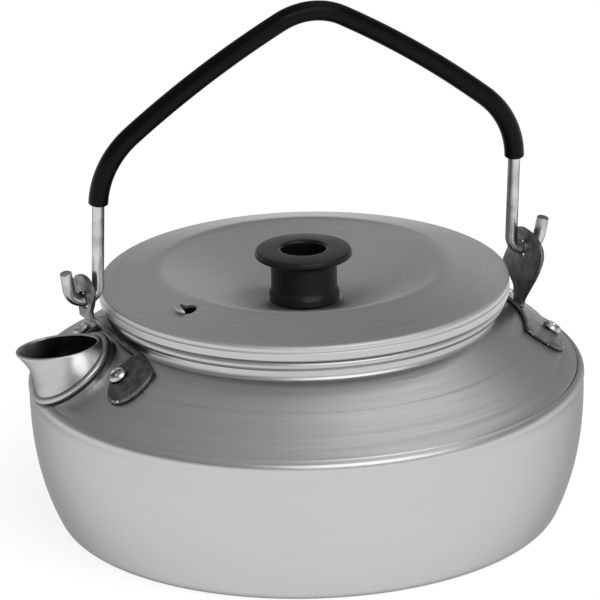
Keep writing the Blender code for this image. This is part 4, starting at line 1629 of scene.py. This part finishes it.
    def spout_ear(self, body: KettleBody) -> bpy.types.Object:
        """Return the ear that straddles the spout.

        Args:
            body: The kettle's shell.

        Returns:
            The ear in its place.
        """
        hinge_z = self.hinge_z(body)
        stand = self.stand(-self.spout_x, hinge_z, -self.spout_lean, self.spout_turn)
        ear = self.tab("spout_ear_pressing", self.spout_tab(), stand)
        inner = body.neck_r + self.spout_neck_gap
        middle, rivet = self.spout_rivet(body)
        plan = [(inner + out * self.foot_length, rivet + along * self.foot_width / middle)
                for out, along in smooth_closed(list(self.spout_foot), 2)]
        parts = [self.web(body, hinge_z)]
        for side in (1, -1):
            outline = [(-r * math.cos(a), -side * r * math.sin(a)) for r, a in plan]
            parts.append(self.foot(body, outline, inner - self.sheet / 2,
                                   inner + self.foot_length + self.sheet))
        forge(ear, parts, self.voxel, self.passes)
        cutters = [self.hole(-self.spout_x, hinge_z), self.pierced(body, hinge_z)]
        combine(ear, cutters + self.rivet_holes(self.spout_spots(body)), "DIFFERENCE")
        shade(ear, 50)
        return ear

    def rear_ear(self, body: KettleBody) -> bpy.types.Object:
        """Return the leaf-shaped rear ear with its flange.

        Args:
            body: The kettle's shell.

        Returns:
            The ear in its place.
        """
        hinge_z = self.hinge_z(body)
        low = body.shoulder_z(self.rear_x) - hinge_z + 1.8 * self.sheet
        sides = [(-self.rear_neck_half, low - self.sheet), (-self.rear_neck_half, low)]
        sides += [(across * self.rear_half, up * (self.rear_top if up > 0 else -low))
                  for across, up in self.rear_near + self.rear_far]
        sides += [(self.rear_neck_half, low), (self.rear_neck_half, low - self.sheet)]
        stand = self.stand(self.rear_x, hinge_z, self.rear_lean, self.rear_turn)
        ear = self.tab("rear_ear_pressing", smooth_closed(sides, 2), stand)
        middle, _, _ = self.rear_rivets()
        inner = self.rear_x - self.flange_inset
        plan = []
        for half, shares in ((self.flange_far_half, self.flange_end),
                             (-self.flange_half, self.flange_end[::-1])):
            for out, along in shares:
                radius = inner + out * self.flange_width
                angle = along * half / middle
                plan.append((radius * math.cos(angle), radius * math.sin(angle)))
        flange = self.foot(body, smooth_closed(plan, 2), inner,
                           inner + self.flange_width + self.sheet)
        forge(ear, [flange], self.voxel, self.passes)
        cutters = [self.hole(self.rear_x, hinge_z)] + self.rivet_holes(self.rear_spots(body))
        combine(ear, cutters, "DIFFERENCE")
        shade(ear, 50)
        return ear

    def build(self, body: KettleBody) -> None:
        """Build and dress both ears.

        Args:
            body: The kettle's shell, which carries them.
        """
        steel = PressedSteel("pressed_ear_steel").material()
        for make, node in ((self.spout_ear, "spout_ear"), (self.rear_ear, "rear_ear")):
            dress(make(body), steel, Body.KETTLE, [node])


@dataclass
class Rivets:
    """The four hollow rivets of the ears, set on the shoulder by one node tree."""

    shank_r: float = 1.6 * MM
    head_r: float = 2.7 * MM
    head_h: float = 1.3 * MM
    well_r: float = 1.35 * MM
    well_depth: float = 1.9 * MM
    tail_r: float = 2.5 * MM
    tail_h: float = 0.9 * MM
    gap: float = 0.3 * MM

    def one(self, body: KettleBody, sheet: float) -> bpy.types.Object:
        """Return one rivet.

        Args:
            body: The kettle's shell, under which its tail lies.
            sheet: Thickness of the ear that it holds.

        Returns:
            The rivet along Z, with its origin on the shoulder's face.
        """
        head = sheet + 2 * self.gap
        top = head + self.head_h
        tail = -body.wall - self.gap
        line = rounded([
            (0.05 * MM, top - self.well_depth, 0),
            (0.85 * self.well_r, top - self.well_depth, 0.5 * MM),
            (self.well_r, top, 0.5 * MM),
            (0.8 * self.head_r, top - 0.1 * MM, 0.5 * MM),
            (self.head_r, head + 0.35 * MM, 0.3 * MM),
            (self.head_r, head, 0.1 * MM),
            (self.shank_r, head, 0),
            (self.shank_r, tail, 0),
            (self.tail_r, tail, 0),
            (self.tail_r, tail - self.tail_h, 0.2 * MM),
            (0.05 * MM, tail - self.tail_h, 0),
        ], 4)
        profile = [(0.0, line[0][1])] + line + [(0.0, line[-1][1])]
        rivet = turned("rivet_master", profile, 40)
        shade(rivet, 40)
        return rivet

    def tree(self) -> bpy.types.NodeTree:
        """Build the node tree that sets a rivet on each point.

        Returns:
            The tree; the point's named direction gives the rivet's axis.
        """
        tree = new_tree("set_rivets",
                        {"Points": "Geometry", "Rivet": "Object", "Finish": "Material"})
        add = tree.nodes.new
        start = add("NodeGroupInput")
        info = add("GeometryNodeObjectInfo")
        normal = add("GeometryNodeInputNamedAttribute")
        normal.data_type = "FLOAT_VECTOR"
        normal.inputs["Name"].default_value = "out"
        align = add("FunctionNodeAlignRotationToVector")
        align.axis = "Z"
        copies = add("GeometryNodeInstanceOnPoints")
        join = tree.links.new
        join(start.outputs["Rivet"], info.inputs["Object"])
        join(start.outputs["Points"], copies.inputs["Points"])
        join(info.outputs["Geometry"], copies.inputs["Instance"])
        join(normal.outputs["Attribute"], align.inputs["Vector"])
        join(align.outputs["Rotation"], copies.inputs["Rotation"])
        end_tree(tree, start, copies.outputs["Instances"])
        return tree

    def build(self, body: KettleBody, ears: Ears) -> None:
        """Build all the rivets as one piece and dress it.

        Args:
            body: The kettle's shell.
            ears: The ears that they hold.
        """
        metal = DrawnWire("rivet_aluminium", dark=0.45, light=0.62, edge=0.4, roughness=0.22,
                          depth=0.0004 * MM, stretch=(1.0, 1.0, 1.0)).material()
        master = self.one(body, ears.sheet)
        spots = ears.spout_spots(body) + ears.rear_spots(body)
        rivets = add_mesh("ear_rivets", [spot.translation for spot in spots], [])
        outs = rivets.data.attributes.new("out", "FLOAT_VECTOR", "POINT")
        for value, spot in zip(outs.data, spots):
            value.vector = spot.to_3x3() @ Vector((0, 0, 1))
        run_tree(rivets, self.tree(), {"Rivet": master, "Finish": metal})
        bpy.data.objects.remove(master, do_unlink=True)
        shade(rivets, 40)
        dress(rivets, metal, Body.KETTLE,
              [f"{ear}_rivet_{side}" for ear in ("spout_ear", "rear_ear")
               for side in ("near", "far")])


@dataclass
class Bail:
    """The folding handle: a bent wire with hooked ends and a plastic sleeve."""

    wire_r: float = 1.65 * MM
    half_span: float = 57.85 * MM
    shift: float = 0.55 * MM
    top: float = 77.9 * MM
    bend_r: float = 25.6 * MM
    bend_turn: float = math.radians(49.3)
    flank_turn: float = math.radians(11.0)
    crest_r: float = 17.4 * MM
    hook_r: float = 4.0 * MM
    hook_turn: float = math.radians(170.0)
    hook_tip: float = 5.4 * MM
    end_chamfer: float = 0.25 * MM
    sleeve_r: float = 2.7 * MM
    sleeve_leg: float = 0.5 * MM
    sleeve_lip: float = 0.45 * MM
    gap: float = 0.3 * MM
    rest_lean: float = math.radians(8.3)
    segments: int = 32

    def half(self) -> tuple[Line, float]:
        """Return half of the wire's line.

        Returns:
            The line from hook tip to crest, and the height of the leg's top.
        """
        end_turn = self.bend_turn + self.flank_turn
        span = self.half_span - self.bend_r * (1 - math.cos(self.bend_turn))
        span -= self.crest_r * math.cos(end_turn)
        flank_r = span / (math.cos(self.bend_turn) - math.cos(end_turn))
        rise = flank_r * (math.sin(end_turn) - math.sin(self.bend_turn))
        leg_top = self.top - self.bend_r * math.sin(self.bend_turn) - rise
        leg_top -= self.crest_r * (1 - math.sin(end_turn))
        bend_end = math.degrees(self.bend_turn)
        flank_end = math.degrees(end_turn)
        bend = arc((self.half_span - self.bend_r, leg_top), self.bend_r, 0, bend_end, 28)
        flank_centre = (bend[-1][0] - flank_r * math.cos(self.bend_turn),
                        bend[-1][1] - flank_r * math.sin(self.bend_turn))
        flank = arc(flank_centre, flank_r, bend_end, flank_end, 24)
        crest = arc((0.0, self.top - self.crest_r), self.crest_r, flank_end, 90, 18)
        hook_end = math.degrees(self.hook_turn) - 180
        hook = arc((self.half_span + self.hook_r, self.hook_r), self.hook_r, hook_end, -180, 28)
        along = math.radians(hook_end + 90)
        tip = (hook[0][0] + self.hook_tip * math.cos(along),
               hook[0][1] + self.hook_tip * math.sin(along))
        return [tip] + hook + bend + flank[1:] + crest[1:], leg_top

    def spot(self, hinge_z: float) -> Matrix:
        """Return the bail's frame at rest, with its origin on the hinge line."""
        lean = Matrix.Rotation(self.rest_lean, 4, "X")
        return Matrix.Translation((self.shift, 0, hinge_z)) @ lean

    def sweep_tree(self) -> bpy.types.NodeTree:
        """Build the node tree that sweeps a round section along a line.

        Returns:
            The tree.
        """
        tree = new_tree("bend_wire", {"Line": "Geometry", "Radius": "Float", "Sides": "Int",
                                      "Finish": "Material"})
        add = tree.nodes.new
        start = add("NodeGroupInput")
        route = add("GeometryNodeMeshToCurve")
        section = add("GeometryNodeCurvePrimitiveCircle")
        sweep = add("GeometryNodeCurveToMesh")
        sweep.inputs["Fill Caps"].default_value = True
        join = tree.links.new
        join(start.outputs["Line"], route.inputs["Mesh"])
        join(start.outputs["Radius"], section.inputs["Radius"])
        join(start.outputs["Sides"], section.inputs["Resolution"])
        join(route.outputs["Curve"], sweep.inputs["Curve"])
        join(section.outputs["Curve"], sweep.inputs["Profile Curve"])
        end_tree(tree, start, sweep.outputs["Mesh"])
        return tree

    def wire(self, hinge_z: float, finish: bpy.types.Material) -> bpy.types.Object:
        """Return the hooked wire.

        Args:
            hinge_z: Height of the hinge line.
            finish: The wire's material.

        Returns:
            The wire, leaning as it rests.
        """
        half, _ = self.half()
        line = half + [(-x, z) for x, z in half[-2::-1]]
        wire = add_mesh("bail_wire_bent", [(x, 0.0, z) for x, z in line], [])
        wire.data.edges.add(len(line) - 1)
        ends = [n for i in range(len(line) - 1) for n in (i, i + 1)]
        wire.data.edges.foreach_set("vertices", ends)
        run_tree(wire, self.sweep_tree(),
                 {"Radius": self.wire_r, "Sides": self.segments, "Finish": finish})
        face_out(wire)
        bevel(wire, self.end_chamfer, 60)
        place(wire, self.spot(hinge_z))
        shade(wire, 50)
        return wire

    def sleeve(self, hinge_z: float) -> bpy.types.Object:
        """Return the sleeve, a tube round the wire with rounded ends.

        Args:
            hinge_z: Height of the hinge line.

        Returns:
            The sleeve, leaning as it rests.
        """
        half, leg_top = self.half()
        end = leg_top + self.sleeve_leg
        grip = [(self.half_span, end)]
        grip += [p for p in half if p[1] > end + 0.2 * MM and p[0] < self.half_span]
        line = grip + [(-x, z) for x, z in grip[-2::-1]]
        points = np.array([(x, 0.0, z) for x, z in line])
        along = np.gradient(points, axis=0)
        along /= np.linalg.norm(along, axis=1)[:, None]
        bore_r = self.wire_r + self.gap
        lip = self.sleeve_lip
        rounding = [(lip * (1 - math.sin(t)), self.sleeve_r - lip * (1 - math.cos(t)))
                    for t in np.linspace(0, math.pi / 2, 6)]
        stations = [(points[i], along[i], self.sleeve_r) for i in range(1, len(points) - 1)]
        stations += [(points[-1] - along[-1] * back, along[-1], r) for back, r in rounding]
        stations += [(points[i], along[i], bore_r) for i in range(len(points) - 1, -1, -1)]
        stations += [(points[0] + along[0] * back, along[0], r) for back, r in rounding[::-1]]
        across = np.array((0.0, 1.0, 0.0))
        sections = []
        for middle, forward, radius in stations:
            up = np.cross(forward, across)
            turn = np.linspace(0, 2 * math.pi, self.segments, endpoint=False)[:, None]
            sections.append(middle + radius * (np.cos(turn) * across + np.sin(turn) * up))
        sleeve = looped("bail_sleeve_moulding", sections)
        place(sleeve, self.spot(hinge_z))
        shade(sleeve, 50)
        return sleeve

    def build(self, hinge_z: float) -> None:
        """Build and dress the wire and its sleeve.

        Args:
            hinge_z: Height of the hinge line.
        """
        steel = DrawnWire("drawn_wire_steel").material()
        plastic = MouldedPlastic("sleeve_plastic", grey=0.002, shine=0.1, roughness=0.24).material()
        dress(self.wire(hinge_z, steel), steel, Body.BAIL, ["bail_wire"])
        dress(self.sleeve(hinge_z), plastic, Body.BAIL, ["bail_sleeve"])


# The studio


@dataclass
class Studio:
    """The white floor, the soft lights, the surrounding sky and the camera."""

    camera_spot: tuple[float, float, float] = (-0.48893, -1.70511, 0.69086)
    camera_forward: tuple[float, float, float] = (0.25911, 0.90600, -0.33472)
    camera_up: tuple[float, float, float] = (0.11516, 0.31511, 0.94204)
    lens: float = 420.0
    sensor: float = 36.0
    far_clip: float = 20.0
    aim: tuple[float, float, float] = (0.0, 0.0, 0.05)
    floor_size: float = 12.0
    floor_gap: float = 0.05 * MM
    floor_grey: float = 0.5
    floor_glow: float = 0.74
    sky_glow: float = 1.0
    lights: list[tuple[str, tuple[float, float, float], tuple[float, float], float]] = field(
        default_factory=lambda: [
            ("key_right", (0.45, -0.05, 1.05), (0.85, 0.85), 1.4),
            ("front_high", (0.22, -1.05, 0.90), (1.4, 0.85), 7.5),
        ])
    stops: list[tuple[float, float]] = field(default_factory=lambda: [
        (0.0, 1.0), (0.12, 0.72), (0.35, 0.30), (0.62, 0.26), (0.88, 0.38), (1.0, 0.45)])

    def floor(self) -> None:
        """Lay the floor just under the kettle; its own glow lifts it to the sky's white."""
        bpy.ops.mesh.primitive_plane_add(size=self.floor_size, location=(0, 0, -self.floor_gap))
        floor = bpy.context.object
        floor.name = "floor"
        nodes = Nodes("pale_floor")
        nodes.set(roughness=0.85, specular_ior_level=0.1, base_color=self.floor_grey,
                  emission_color=1.0, emission_strength=self.floor_glow)
        floor.data.materials.append(nodes.material)

    def sky(self) -> None:
        """Surround the set with a soft gradient, white at the horizon and dimmer higher up."""
        world = bpy.data.worlds.new("studio")
        bpy.context.scene.world = world
        world.use_nodes = True
        tree = world.node_tree
        back = tree.nodes["Background"]
        coords = tree.nodes.new("ShaderNodeTexCoord")
        split = tree.nodes.new("ShaderNodeSeparateXYZ")
        ramp = tree.nodes.new("ShaderNodeValToRGB")
        tree.links.new(coords.outputs["Generated"], split.inputs[0])
        tree.links.new(split.outputs["Z"], ramp.inputs["Fac"])
        tree.links.new(ramp.outputs["Color"], back.inputs["Color"])
        elements = ramp.color_ramp.elements
        for position, _ in self.stops[1:-1]:
            elements.new(position)
        for element, (position, grey) in zip(elements, self.stops):
            element.position = position
            element.color = (grey, grey, grey, 1.0)
        back.inputs["Strength"].default_value = self.sky_glow

    def lamps(self) -> None:
        """Hang the soft boxes, each aimed at the kettle."""
        for name, spot, size, power in self.lights:
            light = bpy.data.lights.new(name, "AREA")
            light.shape = "RECTANGLE"
            light.size, light.size_y = size
            light.energy = power
            lamp = bpy.data.objects.new(name, light)
            bpy.context.scene.collection.objects.link(lamp)
            aim = Vector(self.aim) - Vector(spot)
            lamp.location = spot
            lamp.rotation_euler = aim.to_track_quat("-Z", "Y").to_euler()

    def camera(self) -> None:
        """Stand the camera where the photograph was taken from."""
        data = bpy.data.cameras.new("camera")
        data.lens = self.lens
        data.sensor_width = self.sensor
        data.clip_end = self.far_clip
        camera = bpy.data.objects.new("camera", data)
        bpy.context.scene.collection.objects.link(camera)
        forward = Vector(self.camera_forward).normalized()
        up = Vector(self.camera_up).normalized()
        right = forward.cross(up).normalized()
        up = right.cross(forward)
        turn = Matrix((right, up, -forward)).transposed().to_4x4()
        camera.matrix_world = Matrix.Translation(self.camera_spot) @ turn
        bpy.context.scene.camera = camera

    def build(self) -> None:
        """Set up the whole studio."""
        self.camera()
        self.floor()
        self.sky()
        self.lamps()
        bpy.context.scene.view_settings.view_transform = "Standard"


def main() -> None:
    """Build every piece of the kettle in order, and the studio round it."""
    logging.basicConfig(level=logging.INFO, format="%(name)s: %(message)s")
    Studio().build()
    body = KettleBody()
    spout = Spout()
    lid = Lid()
    ears = Ears()
    body.build(spout)
    spout.build(body)
    lid.build(body)
    _, dish_z = lid.heights(body)
    Knob().build(dish_z, lid.sheet)
    ears.build(body)
    Rivets().build(body, ears)
    Bail().build(ears.hinge_z(body))


if __name__ == "__main__":
    main()
